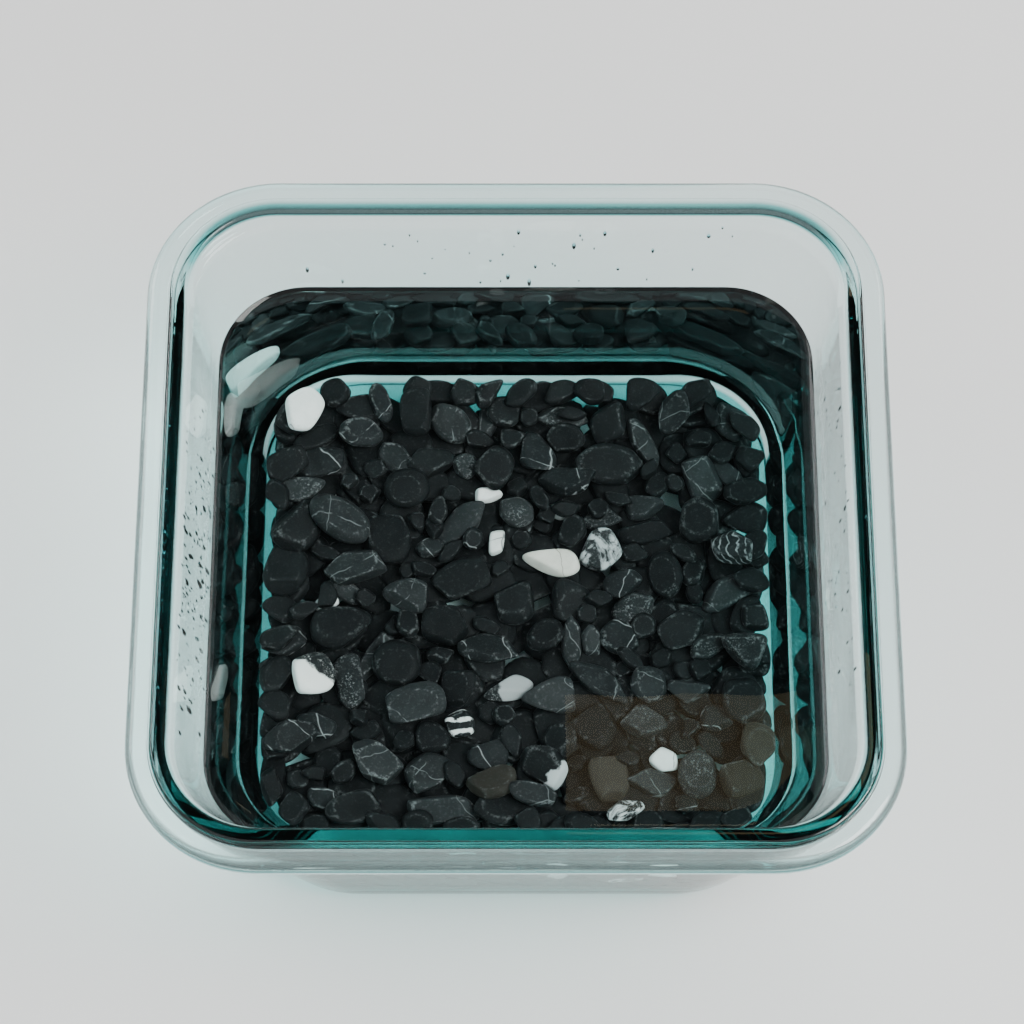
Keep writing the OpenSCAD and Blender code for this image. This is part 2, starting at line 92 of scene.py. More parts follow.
def add_attribute(obj, name, values):
    """Stores one number or one vector for each point of the mesh, for the shaders to read."""
    kind = "FLOAT" if values.ndim == 1 else "FLOAT_VECTOR"
    attribute = obj.data.attributes.new(name, kind, "POINT")
    attribute.data.foreach_set("value" if values.ndim == 1 else "vector",
                               values.astype(np.float32).ravel())


# %% [markdown]
# ### Writing a material down
#
# A material is a tree of nodes. It could be wired up by hand, node after node, but then its recipe is lost
# among the wires. These helpers each add one node and give back its result, so that a material can be
# read like a formula.


# %% Shader nodes
def put(tree, kind, settings=None, **inputs):
    """Adds a shader node. Settings are its own choices; each input is a value or another node's socket.

    An input is named as on the node, with _ for a space, or in0, in1 ... for the socket at that place.
    """
    node = tree.nodes.new(kind)
    for key, value in (settings or {}).items():
        setattr(node, key, value)
    for key, value in inputs.items():
        slot = int(key[2:]) if key[:2] == "in" and key[2:].isdigit() else key.replace("_", " ")
        socket = node.inputs[slot]
        if isinstance(value, bpy.types.NodeSocket):
            tree.links.new(value, socket)
        else:
            socket.default_value = value
    return node


def math_of(tree, operation, a, b=0.0, clamp=False):
    """The result socket of one math node."""
    return put(tree, "ShaderNodeMath", {"operation": operation, "use_clamp": clamp}, in0=a, in1=b).outputs[0]


def ramp_of(tree, value, low, high, out_low=0.0, out_high=1.0):
    """A smooth change from out_low to out_high while value goes from low to high."""
    node = put(tree, "ShaderNodeMapRange", {"interpolation_type": "SMOOTHSTEP"}, Value=value)
    node.inputs["From Min"].default_value = low
    node.inputs["From Max"].default_value = high
    node.inputs["To Min"].default_value = out_low
    node.inputs["To Max"].default_value = out_high
    return node.outputs["Result"]


def mix_of(tree, share, first, second):
    """A colour that goes from first to second as share goes from 0 to 1."""
    node = put(tree, "ShaderNodeMix", {"data_type": "RGBA"})
    for socket, value in zip([node.inputs[0], node.inputs[6], node.inputs[7]], [share, first, second]):
        if isinstance(value, bpy.types.NodeSocket):
            tree.links.new(value, socket)
        else:
            socket.default_value = value
    return node.outputs[2]


def noise_of(tree, place, scale, detail=2.0, roughness=0.5, distortion=0.0):
    """The grey value of a noise texture read at place."""
    return put(tree, "ShaderNodeTexNoise", Vector=place, Scale=scale, Detail=detail, Roughness=roughness,
               Distortion=distortion).outputs[0]


# %% Node groups and materials
def new_group(name, inputs, outputs):
    """An empty node group with named sockets. Returns the group, its input node and its output node."""
    group = bpy.data.node_groups.new(name, "ShaderNodeTree")
    for label, kind, value in inputs:
        socket = group.interface.new_socket(label, in_out="INPUT", socket_type="NodeSocket" + kind)
        if value is not None:
            socket.default_value = value
    for label, kind in outputs:
        group.interface.new_socket(label, in_out="OUTPUT", socket_type="NodeSocket" + kind)
    return group, group.nodes.new("NodeGroupInput"), group.nodes.new("NodeGroupOutput")


def use_group(tree, group, **inputs):
    """Puts a node group into a material."""
    return put(tree, "ShaderNodeGroup", {"node_tree": group}, **inputs)


def new_material(name):
    """An empty material. Returns it, its tree, its Principled shader and its output node."""
    material = bpy.data.materials.new(name)
    material.use_nodes = True
    tree = material.node_tree
    tree.nodes.clear()
    shader = tree.nodes.new("ShaderNodeBsdfPrincipled")
    output = tree.nodes.new("ShaderNodeOutputMaterial")
    tree.links.new(shader.outputs[0], output.inputs["Surface"])
    return material, tree, shader, output


# %% [markdown]
# ## The glass
#
# The dish is one piece of pressed soda-lime glass. Such glass looks clear through a thin wall and
# blue-green along a long path, which is why the rim is teal while the walls are not. So the colour sits
# in the volume. The top of the rim is tinted a little more, because light that enters there has run
# down the whole height of the wall. Rays that only look for a lamp go straight through the surface: that
# lets soft light reach the stones without the slow work of tracing every bent ray.


# %% Clear materials
def clear_material(name, tint, roughness, ior, shadow_tint, density, absorb):
    """A clear body: a bending surface, an open way for shadow rays and a colour in the volume."""
    material, tree, shader, output = new_material(name)
    shader.inputs["Base Color"].default_value = tint
    shader.inputs["Roughness"].default_value = roughness
    shader.inputs["IOR"].default_value = ior
    shader.inputs["Transmission Weight"].default_value = 1.0
    path = put(tree, "ShaderNodeLightPath")
    open_way = put(tree, "ShaderNodeBsdfTransparent", Color=shadow_tint)
    either = put(tree, "ShaderNodeMixShader", in0=path.outputs["Is Shadow Ray"], in1=shader.outputs[0],
                 in2=open_way.outputs[0])
    tree.links.new(either.outputs[0], output.inputs["Surface"])
    if density > 0:
        volume = put(tree, "ShaderNodeVolumeAbsorption", Color=absorb, Density=density)
        tree.links.new(volume.outputs[0], output.inputs["Volume"])
    return material, tree, shader


# %% [markdown]
# ### The glass's own colour, and a painted dark back rim
#
# The rim's tint is read from an attribute named rim, which the dish gets further on: half of its range
# goes from clear to teal, and the other half from teal to the deep teal of the longest paths. At the
# back the rim is painted nearly black, as a painted dark reflection of the room that the back rim would
# send to the front. Pressed glass is also never quite flat, and a weak, broad bump makes its reflections
# swim a little.

# %% Glass
RIM_TEAL = (0.06, 0.5, 0.5, 1)
RIM_DEEP = (0.025, 0.17, 0.165, 1)
# Painted shade: a nearly black colour laid on the back rim, standing in for a dark reflection of the room.
PAINTED_DARK_BACK_RIM = (0.008, 0.014, 0.015, 1)
# Where the painted dark of the back rim begins and where it is in full, in metres behind the middle.
PAINTED_DARK_STARTS = 0.062
PAINTED_DARK_FULL = 0.076
glass, glass_tree, glass_shader = clear_material(
    "Teal pressed glass", tint=(1, 1, 1, 1), roughness=0.0, ior=1.5,
    shadow_tint=(0.85, 0.88, 0.88, 1), density=32.0, absorb=(0.0, 0.8, 0.79, 1))
glass_place = put(glass_tree, "ShaderNodeTexCoord").outputs["Object"]
glass_rim = put(glass_tree, "ShaderNodeAttribute", {"attribute_name": "rim"}).outputs["Fac"]
teal_share = math_of(glass_tree, "MULTIPLY", glass_rim, 2.0, clamp=True)
deep_share = math_of(glass_tree, "SUBTRACT", math_of(glass_tree, "MULTIPLY", glass_rim, 2.0), 1.0,
                     clamp=True)
teal = mix_of(glass_tree, teal_share, (1, 1, 1, 1), RIM_TEAL)
tinted = mix_of(glass_tree, deep_share, teal, RIM_DEEP)
glass_y = put(glass_tree, "ShaderNodeSeparateXYZ", Vector=glass_place).outputs[1]
painted_dark_ramp = ramp_of(glass_tree, glass_y, PAINTED_DARK_STARTS, PAINTED_DARK_FULL)
painted_dark_share = math_of(glass_tree, "MULTIPLY", glass_rim, painted_dark_ramp)
# Where the rim is marked at the back, its colour goes to nearly black: painted shade in place of a dark
# reflection.
glass_tree.links.new(mix_of(glass_tree, painted_dark_share, tinted, PAINTED_DARK_BACK_RIM), glass_shader.inputs["Base Color"])
glass_wave = noise_of(glass_tree, glass_place, 55.0, detail=1.0)
glass_bump = put(glass_tree, "ShaderNodeBump", Strength=0.07, Distance=0.0004, Height=glass_wave)
glass_tree.links.new(glass_bump.outputs[0], glass_shader.inputs["Normal"])
print("glass bends light by", glass_shader.inputs["IOR"].default_value)

# %% [markdown]
# ### The water's own colour
#
# A few centimetres of water have hardly any colour. It bends light less than the glass does, so the foot
# of the wall still shows through it, and its surface is stirred by a very low ripple.

# %% Water
water_look, water_tree, water_shader = clear_material(
    "Still water", tint=(1, 1, 1, 1), roughness=0.0, ior=1.333,
    shadow_tint=(0.97, 0.99, 0.99, 1), density=2.0, absorb=(0.3, 0.9, 0.95, 1))
water_place = put(water_tree, "ShaderNodeTexCoord").outputs["Object"]
water_ripple = noise_of(water_tree, water_place, 22.0, detail=1.0)
water_bump = put(water_tree, "ShaderNodeBump", Strength=0.08, Distance=0.001, Height=water_ripple)
water_tree.links.new(water_bump.outputs[0], water_shader.inputs["Normal"])
print("water bends light by", water_shader.inputs["IOR"].default_value)

# %% [markdown]
# ## The shape of the dish
#
# A pressed dish is the same profile carried round a square with rounded corners. So each point of the
# profile has a half width, a corner radius and a height, and each place round the dish is the middle of
# a corner circle plus a direction on that circle. The two together give the whole surface in one step.


# %% Rings round a rounded square
def square_path(per_corner, per_side):
    """Where a rounded square's points lie: the corner centre as a share of half width less radius, and
    the direction from that centre. Along a side the centre slides and the direction stays."""
    centres, ways = [], []
    signs = np.array([[1, 1], [-1, 1], [-1, -1], [1, -1]], float)
    for k in range(4):
        turn = math.pi / 2 * k + np.linspace(0, math.pi / 2, per_corner + 1)
        centres.append(np.repeat(signs[k:k + 1], per_corner + 1, 0))
        ways.append(np.stack([np.cos(turn), np.sin(turn)], -1))
        share = np.linspace(0, 1, per_side + 1)[1:-1, None]
        centres.append(signs[k] * (1 - share) + signs[(k + 1) % 4] * share)
        ways.append(np.repeat(ways[-1][-1:], per_side - 1, 0))
    return np.concatenate(centres), np.concatenate(ways)


PATH_CENTRES, PATH_WAYS = square_path(per_corner=18, per_side=26)
print("points round the dish", len(PATH_WAYS))


# %% Carrying a profile round
def carry_round(half, radius, height):
    """Rings for a profile given as arrays of half width, corner radius and height, in mm.

    A point is the corner centre, which lies at half width less radius, plus the radius along its way.
    """
    radius = np.minimum(radius, half)
    flat = (half - radius)[:, None, None] * PATH_CENTRES + radius[:, None, None] * PATH_WAYS
    tall = np.broadcast_to(height[:, None, None], flat.shape[:2] + (1,))
    return np.concatenate([flat, tall], -1)


def arc(centre_half, centre_z, radius, start, end, count):
    """Points of a circular arc in the profile: the centre plus radius times cosine outwards and radius
    times sine upwards, from the angle start to the angle end, in degrees from straight outwards."""
    a = np.radians(np.linspace(start, end, count))
    return centre_half + radius * np.cos(a), centre_z + radius * np.sin(a)


# %% From rings to a closed body
def closed_body(name, rings, low_pole, high_pole, material):
    """Joins rings into a closed body that starts at one point in the middle and ends at another."""
    rows, cols = rings.shape[:2]
    points = np.concatenate([rings.reshape(-1, 3), [low_pole, high_pole]]) * MM
    count = rows * cols
    faces = [grid_faces(rows, cols), fan_faces(0, cols, count, True),
             fan_faces(count - cols, cols, count + 1, False)]
    return make_object(name, points, faces, material)


# %% [markdown]
# ## The glass dish
#
# The profile starts under the middle of the base, rounds the foot, climbs the outer wall, goes out round
# the flange and over the rim, and comes down the inner wall and its fillet to the middle of the floor.
# The wall leans outwards all the way, so that the dish can leave its mould. Pressed glass is never quite
# even, so the inner wall gets slow waves a few hundredths of a millimetre deep.

# %% Sizes of the dish in mm
LIP_HALF = 85.0
DISH_H = 85.0
BASE_HALF = 68.5
LIP_T = 4.4
FOOT_T = 5.4
FLOOR_T = 5.5
CORNER_R = 26.0
BASE_CORNER_R = 31.0
INNER_FILLET_R = 5.5
FOOT_R = 5.0
LIP_R = 1.2
FLANGE_OUT = 5.6
FLANGE_DROP = 0.9
FLANGE_T = 5.6
WATER_DOWN = 29.4
KICK_UP = 0.5
FOOT_LAND = 3.0
UNDER_FLANGE_R = 1.0
INNER_LIP_R = 0.9
LIP_SINK = 0.02

IN_FLOOR = BASE_HALF - FOOT_T
IN_SLOPE = (LIP_HALF - LIP_T - IN_FLOOR) / (DISH_H - FLOOR_T)
IN_BASE = IN_FLOOR - IN_SLOPE * FLOOR_T
IN_CORNER = CORNER_R - LIP_T
OUT_SLOPE = (LIP_HALF - BASE_HALF) / DISH_H
IN_LEAN = math.degrees(math.atan(IN_SLOPE))
FILLET_Z = FLOOR_T + INNER_FILLET_R
FILLET_HALF = (IN_BASE + IN_SLOPE * (FILLET_Z - INNER_FILLET_R * math.sin(math.radians(IN_LEAN)))
               - INNER_FILLET_R * math.cos(math.radians(IN_LEAN)))
print("inner wall leans by", round(IN_LEAN, 2), "degrees, floor is flat to", round(FILLET_HALF, 2), "mm")


# %% The dish's profile
def dish_profile():
    """Half width, corner radius and height of the closed profile, from under the base to the floor.

    It is a row of straight lines and arcs. The base is hollowed by one less the fourth power of the way out.
    """
    parts = []

    def add(half, z, edge_half, edge_radius):
        """Adds points whose corner circles stay the same distance inside the wall's own."""
        half, z = np.atleast_1d(half).astype(float), np.atleast_1d(z).astype(float)
        parts.append((half, np.maximum(edge_radius - (edge_half - half), 1.0), z))

    reach = np.array([0.06, 0.15, 0.3, 0.5, 0.7, 0.85, 0.95])
    bottom = (BASE_HALF - FOOT_R - FOOT_LAND) * reach
    parts.append((bottom, bottom * 0.5, KICK_UP * (1 - reach ** 4)))
    half, z = arc(BASE_HALF - FOOT_R, FOOT_R, FOOT_R, -90, -8, 9)
    add(half, z, BASE_HALF, BASE_CORNER_R)
    under = DISH_H - FLANGE_DROP - FLANGE_T
    climb = np.linspace(FOOT_R + 1.0, under - 1.2, 26)
    parts.append((BASE_HALF + OUT_SLOPE * climb,
                  BASE_CORNER_R + (CORNER_R - BASE_CORNER_R) * climb / DISH_H, climb))
    edge = FLANGE_T / 2
    wall_at = BASE_HALF + OUT_SLOPE * under
    half, z = arc(wall_at + UNDER_FLANGE_R, under - UNDER_FLANGE_R, UNDER_FLANGE_R, 180, 90, 5)
    add(half, z, LIP_HALF, CORNER_R)
    half, z = arc(LIP_HALF + FLANGE_OUT - edge, under + edge, edge, -90, 90, 15)
    add(half, z, LIP_HALF + FLANGE_OUT, CORNER_R + FLANGE_OUT)
    top = DISH_H - FLANGE_DROP
    add(np.array([LIP_HALF + 0.5, LIP_HALF + 0.15, LIP_HALF]), np.array([top, top + 0.1, top + 0.35]),
        LIP_HALF, CORNER_R)
    half, z = arc(LIP_HALF - LIP_R, DISH_H - LIP_R, LIP_R, 25, 90, 6)
    add(half, z - LIP_SINK, LIP_HALF, CORNER_R)
    inner = LIP_HALF - LIP_T
    half, z = arc(inner + INNER_LIP_R, DISH_H - INNER_LIP_R, INNER_LIP_R, 90, 190, 8)
    add(half, z - LIP_SINK, inner, IN_CORNER)
    fall = np.linspace(DISH_H - 1.6, FILLET_Z, 44)
    parts.append((IN_BASE + IN_SLOPE * fall, np.full(len(fall), IN_CORNER), fall))
    half, z = arc(FILLET_HALF, FILLET_Z, INNER_FILLET_R, -IN_LEAN, -90, 12)
    edge_at = FILLET_HALF + INNER_FILLET_R * math.cos(math.radians(IN_LEAN))
    add(half, z, edge_at, IN_CORNER)
    inside = FILLET_HALF * reach[::-1]
    parts.append((inside, inside * 0.4, np.full(len(reach), FLOOR_T)))
    return [np.concatenate(column) for column in zip(*parts)]


# %% Slow waves in pressed glass
WAVES = 7


def slow_waves(points, seed, depth, length):
    """Depth of slow waves at each point, in mm.

    It is the sum of WAVES sines of the place along random headings, each about length mm long, over the
    root of their number, so that the sum keeps the given depth.
    """
    rng = np.random.default_rng(seed)
    total = np.zeros(points.shape[:-1])
    for _ in range(WAVES):
        way = rng.normal(size=3)
        way *= 2 * math.pi / (length * rng.uniform(0.7, 1.6)) / np.linalg.norm(way)
        total += np.sin(points @ way + rng.uniform(0, 2 * math.pi))
    return depth * total / WAVES ** 0.5


# %% [markdown]
# ### The dish as one closed body
#
# The rings are joined into one skin, outside and inside, because glass bends light twice: where a ray
# goes in and where it comes out. The waves fade out at the floor and under the rim, so the rim stays true.

# %% The dish
WAVE_DEPTH = 0.03
WAVE_LENGTH = 30.0
WAVE_FADE = 8.0
half, radius, height = dish_profile()
rings = carry_round(half, radius, height)
inner_row = np.arange(len(half)) >= np.argmax(height > DISH_H - 0.05)
from_floor = np.clip((height - FLOOR_T) / WAVE_FADE, 0, 1)
from_rim = np.clip((DISH_H - 2 - height) / WAVE_FADE, 0, 1)
weight = inner_row * from_floor * from_rim
waves = slow_waves(rings, 4, WAVE_DEPTH, WAVE_LENGTH)
rings[..., :2] += PATH_WAYS * (weight[:, None] * waves)[..., None]
dish = closed_body("glass_dish_body", rings, [0, 0, 0.5], [0, 0, FLOOR_T], glass)

# %% [markdown]
# ### Where the glass is teal, and where it is painted dark
#
# Light that leaves the rim at the front has come up through the front wall, the longest way through
# glass there is, so the rim is deepest there and pales towards the back. The inner fillet is thick glass
# too and shows as a teal streak round the bed. At the very back the inner band of the rim is marked in
# full, so that the glass paints it nearly black as a painted dark reflection of the room. All of this is
# stored as one number for each point.

# %% Teal of the rim and the fillet, and the painted dark of the back rim
RIM_DEPTH = 1.4
RIM_FADE = 0.5
RIM_EDGE = 0.9
INNER_BAND = 1.7
OUTER_BAND_SHARE = 0.1
FILLET_TEAL = 0.62
RIM_PLACES_Y = [-80, -70, 40, 64]
RIM_TEAL_THERE = [1.0, 0.38, 0.36, 0.0]
# Where, in mm behind the middle, the painted dark of the back rim begins and where it is in full.
PAINTED_DARK_PLACES_Y = [58, 76]
on_rim = np.clip((height - (DISH_H - RIM_DEPTH)) / RIM_FADE, 0, 1) * (half < LIP_HALF - RIM_EDGE)
toward_back = np.interp(rings[..., 1], RIM_PLACES_Y, RIM_TEAL_THERE)
inner_edge = on_rim * np.where(half < LIP_HALF - LIP_T + INNER_BAND, 1.0, OUTER_BAND_SHARE)
# Painted shade: towards the back the rim's inner band is marked in full, and the glass shader paints it
# nearly black as a dark reflection.
painted_dark_at_back = np.interp(rings[..., 1], PAINTED_DARK_PLACES_Y, [0.0, 1.0])
rim = np.maximum(on_rim[:, None] * toward_back, inner_edge[:, None] * painted_dark_at_back)
on_fillet = inner_row & (height < FILLET_Z + 1.0) & (half > FILLET_HALF - 0.01)
rim = np.maximum(rim, FILLET_TEAL * on_fillet[:, None])
rim = np.concatenate([rim.ravel(), [0, 0]])
add_attribute(dish, "rim", rim)
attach(dish, "dish")
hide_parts("glass_dish")
print("dish", len(dish.data.polygons), "faces", [round(x / MM, 1) for x in dish.dimensions])

# %% [markdown]
# ## The water
#
# Water fills the dish from the floor to its surface, and the stones stand in it. Where it meets the
# glass it climbs by about two millimetres, in a curve that fades over a few millimetres. The body of water
# reaches a tenth of a millimetre into the glass all round, so that no film of air is left between
# them, which a real dish doesn't have either.

# %% The water's profile
WATER_Z = DISH_H - WATER_DOWN
SINK = 0.1
CLIMB = 1.9
FADE = 2.4
WALL_STEPS = 20


def water_profile():
    """Half width, corner radius and height from the floor's middle, up the wall and over the surface.

    The surface lies at WATER_Z plus CLIMB times e to the power of minus the distance from the glass over
    FADE.
    """
    floor_share = np.array([0.06, 0.2, 0.45, 0.7, 0.9])
    parts = [(FILLET_HALF * floor_share, FILLET_HALF * floor_share * 0.4,
              np.full(len(floor_share), FLOOR_T - SINK))]
    half, z = arc(FILLET_HALF, FILLET_Z, INNER_FILLET_R + SINK, -90, -IN_LEAN, 9)
    edge_at = FILLET_HALF + (INNER_FILLET_R + SINK) * math.cos(math.radians(IN_LEAN))
    parts.append((half, IN_CORNER + SINK - (edge_at - half), z))
    top = WATER_Z + CLIMB
    rise = np.linspace(FILLET_Z, top, WALL_STEPS)
    parts.append((IN_BASE + IN_SLOPE * rise + SINK, np.full(WALL_STEPS, IN_CORNER + SINK), rise))
    away = np.array([0.02, 0.12, 0.3, 0.55, 0.9, 1.4, 2.1, 3.0, 4.2, 6.0, 8.5, 12.0, 17.0, 24.0, 33.0, 44.0,
                     55.0, 65.0])
    edge = IN_BASE + IN_SLOPE * top
    inward = edge - away
    parts.append((inward, np.maximum(IN_CORNER - 0.35 * away, 1.0), WATER_Z + CLIMB * np.exp(-away / FADE)))
    return [np.concatenate(column) for column in zip(*parts)]


# %% The water
half, radius, height = water_profile()
rings = carry_round(half, radius, height)
water = closed_body("water_body", rings, [0, 0, FLOOR_T - SINK], [0, 0, WATER_Z], water_look)
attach(water, "dish")
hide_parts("water")
print("water surface at", WATER_Z, "mm")

# %% [markdown]
# ## Drops on the dry walls
#
# Above the water the glass is wet with small drops, most of them on the left wall. A drop on glass is a
# low dome, a little longer down the wall than across it. Each wall's drops are made on the right wall
# and then turned about the middle of the dish by quarter turns.

# %% One drop
DOME_RINGS = 5
DOME_SIDES = 12
DOME_SUNK = -0.3


def dome():
    """A dome over the unit circle: its points and faces.

    A point is at the cosine of the lift times the circle, as high as the sine of the lift. Below, the dome
    closes in one point inside the glass.
    """
    lift = np.linspace(0, math.pi / 2, DOME_RINGS + 1)[:-1, None]
    turn = np.linspace(0, 2 * math.pi, DOME_SIDES, endpoint=False)[None, :]
    rings = np.stack([np.cos(lift) * np.cos(turn), np.cos(lift) * np.sin(turn),
                      np.sin(lift) + 0 * turn], -1).reshape(-1, 3)
    points = np.concatenate([rings, [[0, 0, 1], [0, 0, DOME_SUNK]]])
    count = DOME_RINGS * DOME_SIDES
    return points, [grid_faces(DOME_RINGS, DOME_SIDES),
                    fan_faces(count - DOME_SIDES, DOME_SIDES, count, False),
                    fan_faces(0, DOME_SIDES, count + 1, True)]


# %% Drops on one wall
STRAIGHT_WALL = 54
ABOVE_WATER = 1.5
BELOW_RIM = 4.5
SMALLEST_DROP = 0.14
LONGEST_DROP = 3.4
DROP_THICKNESS = 0.3


def wall_drops(count, quarter_turns, middle, spread, big, rng):
    """Points of count drops on one inner wall. Middle and spread say where along the wall most lie.

    A drop's point is its foot on the leaning wall, plus the dome's first number across the wall, its
    second one up the wall and its third one straight off the wall.
    """
    shape, _ = dome()
    along = np.clip(rng.normal(middle, spread, count), -STRAIGHT_WALL, STRAIGHT_WALL)
    z = rng.uniform(WATER_Z + CLIMB + ABOVE_WATER, DISH_H - BELOW_RIM, count)
    wide = np.minimum(SMALLEST_DROP + rng.gamma(1.6, 0.1, count), big)
    long = wide * rng.uniform(1.0, LONGEST_DROP, count)
    thick = DROP_THICKNESS * wide
    lean = math.radians(IN_LEAN)
    up = np.array([math.sin(lean), 0, math.cos(lean)])
    inward = np.array([-math.cos(lean), 0, math.sin(lean)])
    foot = np.stack([IN_BASE + IN_SLOPE * z, along, z], -1)
    points = (foot[:, None] + shape[None, :, 0:1] * wide[:, None, None] * np.array([0, 1, 0])
              + shape[None, :, 1:2] * long[:, None, None] * up
              + shape[None, :, 2:3] * thick[:, None, None] * inward)
    c, n = np.cos(quarter_turns * math.pi / 2), np.sin(quarter_turns * math.pi / 2)
    return points @ np.array([[c, n, 0], [-n, c, 0], [0, 0, 1]])


# %% All the drops
# For each wall: how many drops, how many quarter turns from the right wall, the middle and the spread of
# their places along the wall, and the half width of the largest, in mm.
DROPS_ON = {
    "left": (230, 2, 6, 21, 0.8),
    "right": (70, 0, 5, 26, 0.6),
    "back": (34, 1, 0, 30, 0.5),
    "front": (30, 3, 0, 30, 0.5),
}
rng = np.random.default_rng(31)
drop_points = np.concatenate([wall_drops(*wall, rng) for wall in DROPS_ON.values()])
shape, dome_faces = dome()
starts = np.arange(len(drop_points))[:, None, None] * len(shape)
drops = make_object("wall_drops", drop_points.reshape(-1, 3) * MM,
                    [(starts + part[None]).reshape(-1, part.shape[1]) for part in dome_faces], water_look)
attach(drops, "dish")
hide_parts("water")
print("drops", len(drop_points))

# %% [markdown]
# ## Finding the stones
#
# The CAD model has each stone as an ellipsoid of the right length, width and thickness, lying where it
# came to rest. A node can hold many of them, so its mesh is first parted into its separate solids. Then a
# quadric is fitted to each one's points: every ellipsoid satisfies x A x + b x = 1, which is linear in
# the nine unknowns, and A gives back the three axes and their lengths.


# %% Reading ellipsoids from a CAD node
def separate_solids(obj):
    """Point arrays of a mesh's separate solids, in mm. Points that coincide count as one.

    Each point starts with a label of its own and takes the lowest label among its neighbours until
    nothing changes any more, so that each solid ends with one label.
    """
    mesh = obj.data
    points = np.zeros(len(mesh.vertices) * 3)
    mesh.vertices.foreach_get("co", points)
    points = points.reshape(-1, 3) / MM
    edges = np.zeros(len(mesh.edges) * 2, int)
    mesh.edges.foreach_get("vertices", edges)
    _, label, index = np.unique(np.round(points, 4), axis=0, return_index=True, return_inverse=True)
    index = index.ravel()
    a, b = index[edges.reshape(-1, 2)].T
    label = np.arange(len(label))
    while True:
        low = np.minimum(label[a], label[b])
        new = label.copy()
        np.minimum.at(new, a, low)
        np.minimum.at(new, b, low)
        new = new[new]
        if (new == label).all():
            break
        label = new
    owner = label[index]
    return [points[owner == k] for k in np.unique(owner)]


# %% Fitting an ellipsoid
def fit_ellipsoid(points):
    """Centre, axes as columns and semi axes, longest first, of the ellipsoid the points lie on.

    The centre is minus half of A's inverse times b, and a semi axis is one over the root of A's value.
    """
    middle = (points.min(0) + points.max(0)) / 2
    x, y, z = (points - middle).T
    terms = np.stack([x * x, y * y, z * z, 2 * x * y, 2 * x * z, 2 * y * z, x, y, z], -1)
    f = np.linalg.lstsq(terms, np.ones(len(x)), rcond=None)[0]
    form = np.array([[f[0], f[3], f[4]], [f[3], f[1], f[5]], [f[4], f[5], f[2]]])
    shift = -0.5 * np.linalg.solve(form, f[6:])
    size = 1 + shift @ form @ shift
    value, axes = np.linalg.eigh(form / size)
    if np.linalg.det(axes) < 0:
        axes[:, 0] *= -1
    return middle + shift, axes, 1 / np.sqrt(value)


# %% [markdown]
# ## The shape of one tumbled stone
#
# A tumbled stone starts as a broken piece with flat faces, and the drum wears its corners round. The same
# can be said in numbers: take an ellipsoid and a few planes, and let the distance to the surface in each
# direction be a soft minimum of the distances to all of them. The soft minimum used here is a sum of
# high negative powers. Where one face wins, the surface is flat; where two meet, it rounds over.
# How even the contest is says how worn an edge is, and that is kept for the colour.


# %% A ball of points, even in all directions
def ball(cells):
    """Unit directions and quads of a cube's six faces, cut into cells by cells and blown up round.

    A cube's point lies at the tangent of evenly spaced angles, and is then divided by its own length.
    """
    t = np.tan(np.linspace(-1, 1, cells + 1) * math.pi / 4)
    u, v = np.meshgrid(t, t, indexing="ij")
    one = np.ones_like(u)
    sides = [(one, u, v), (-one, v, u), (v, one, u), (u, -one, v), (u, v, one), (v, u, -one)]
    points = np.concatenate([np.stack(s, -1).reshape(-1, 3) for s in sides])
    cell = np.arange(cells)
    a = (cell[:, None] * (cells + 1) + cell[None, :]).ravel()
    quad = np.stack([a, a + cells + 1, a + cells + 2, a + 1], -1)
    faces = np.concatenate([quad + k * (cells + 1) ** 2 for k in range(6)])
    _, keep, index = np.unique(np.round(points, 6), axis=0, return_index=True, return_inverse=True)
    points = points[keep] / np.linalg.norm(points[keep], axis=1, keepdims=True)
    return points, index.ravel()[faces]


# %% [markdown]
# ### Outlines
#
# Seen from above, a stone's outline says most about it. Each named outline is a short list of planes, as a
# heading in degrees and a distance in shares of the half length. The stones that are not told apart get
# three to six planes at random.

# %% Outlines of stones
OUTLINES = {
    "lens": [(62, 0.66), (118, 0.68), (242, 0.67), (298, 0.65)],
    "drop": [(122, 0.52), (240, 0.55), (20, 0.94)],
    "wedge": [(4, 0.62), (128, 0.6), (238, 0.66)],
    "slab": [(3, 0.76), (95, 0.74), (176, 0.8), (268, 0.72)],
    "cornered": [(10, 0.72), (70, 0.8), (140, 0.7), (205, 0.78), (285, 0.68)],
    "oval": [(200, 0.95)],
    "knob": [(25, 0.86), (105, 0.72), (172, 0.84), (240, 0.7), (318, 0.78)],
}
FEWEST_SIDES = 3
MOST_SIDES = 6
NO_PLANE = 9.0


def random_outline(count, rng):
    """Headings and distances of the planes that cut the outlines of count stones.

    The headings are even parts of a full turn, each moved a little. More planes lie further out.
    """
    sides = rng.integers(FEWEST_SIDES, MOST_SIDES + 1, (count, 1))
    k = np.arange(MOST_SIDES)[None, :]
    spot = (k + rng.uniform(-0.2, 0.2, (count, MOST_SIDES))) / sides
    turn = rng.uniform(0, 2 * math.pi, (count, 1)) + 2 * math.pi * spot
    far = 0.46 + 0.065 * sides + rng.uniform(-0.05, 0.13, (count, MOST_SIDES))
    return turn, np.where(k < sides, far, NO_PLANE)


# %% From planes to a stone
EDGE_TIP = 0.35
FACE_LEAN = 0.13
SHARPNESS = (10, 24)
DIMPLES = 5
DIMPLE_DEPTH = 0.014


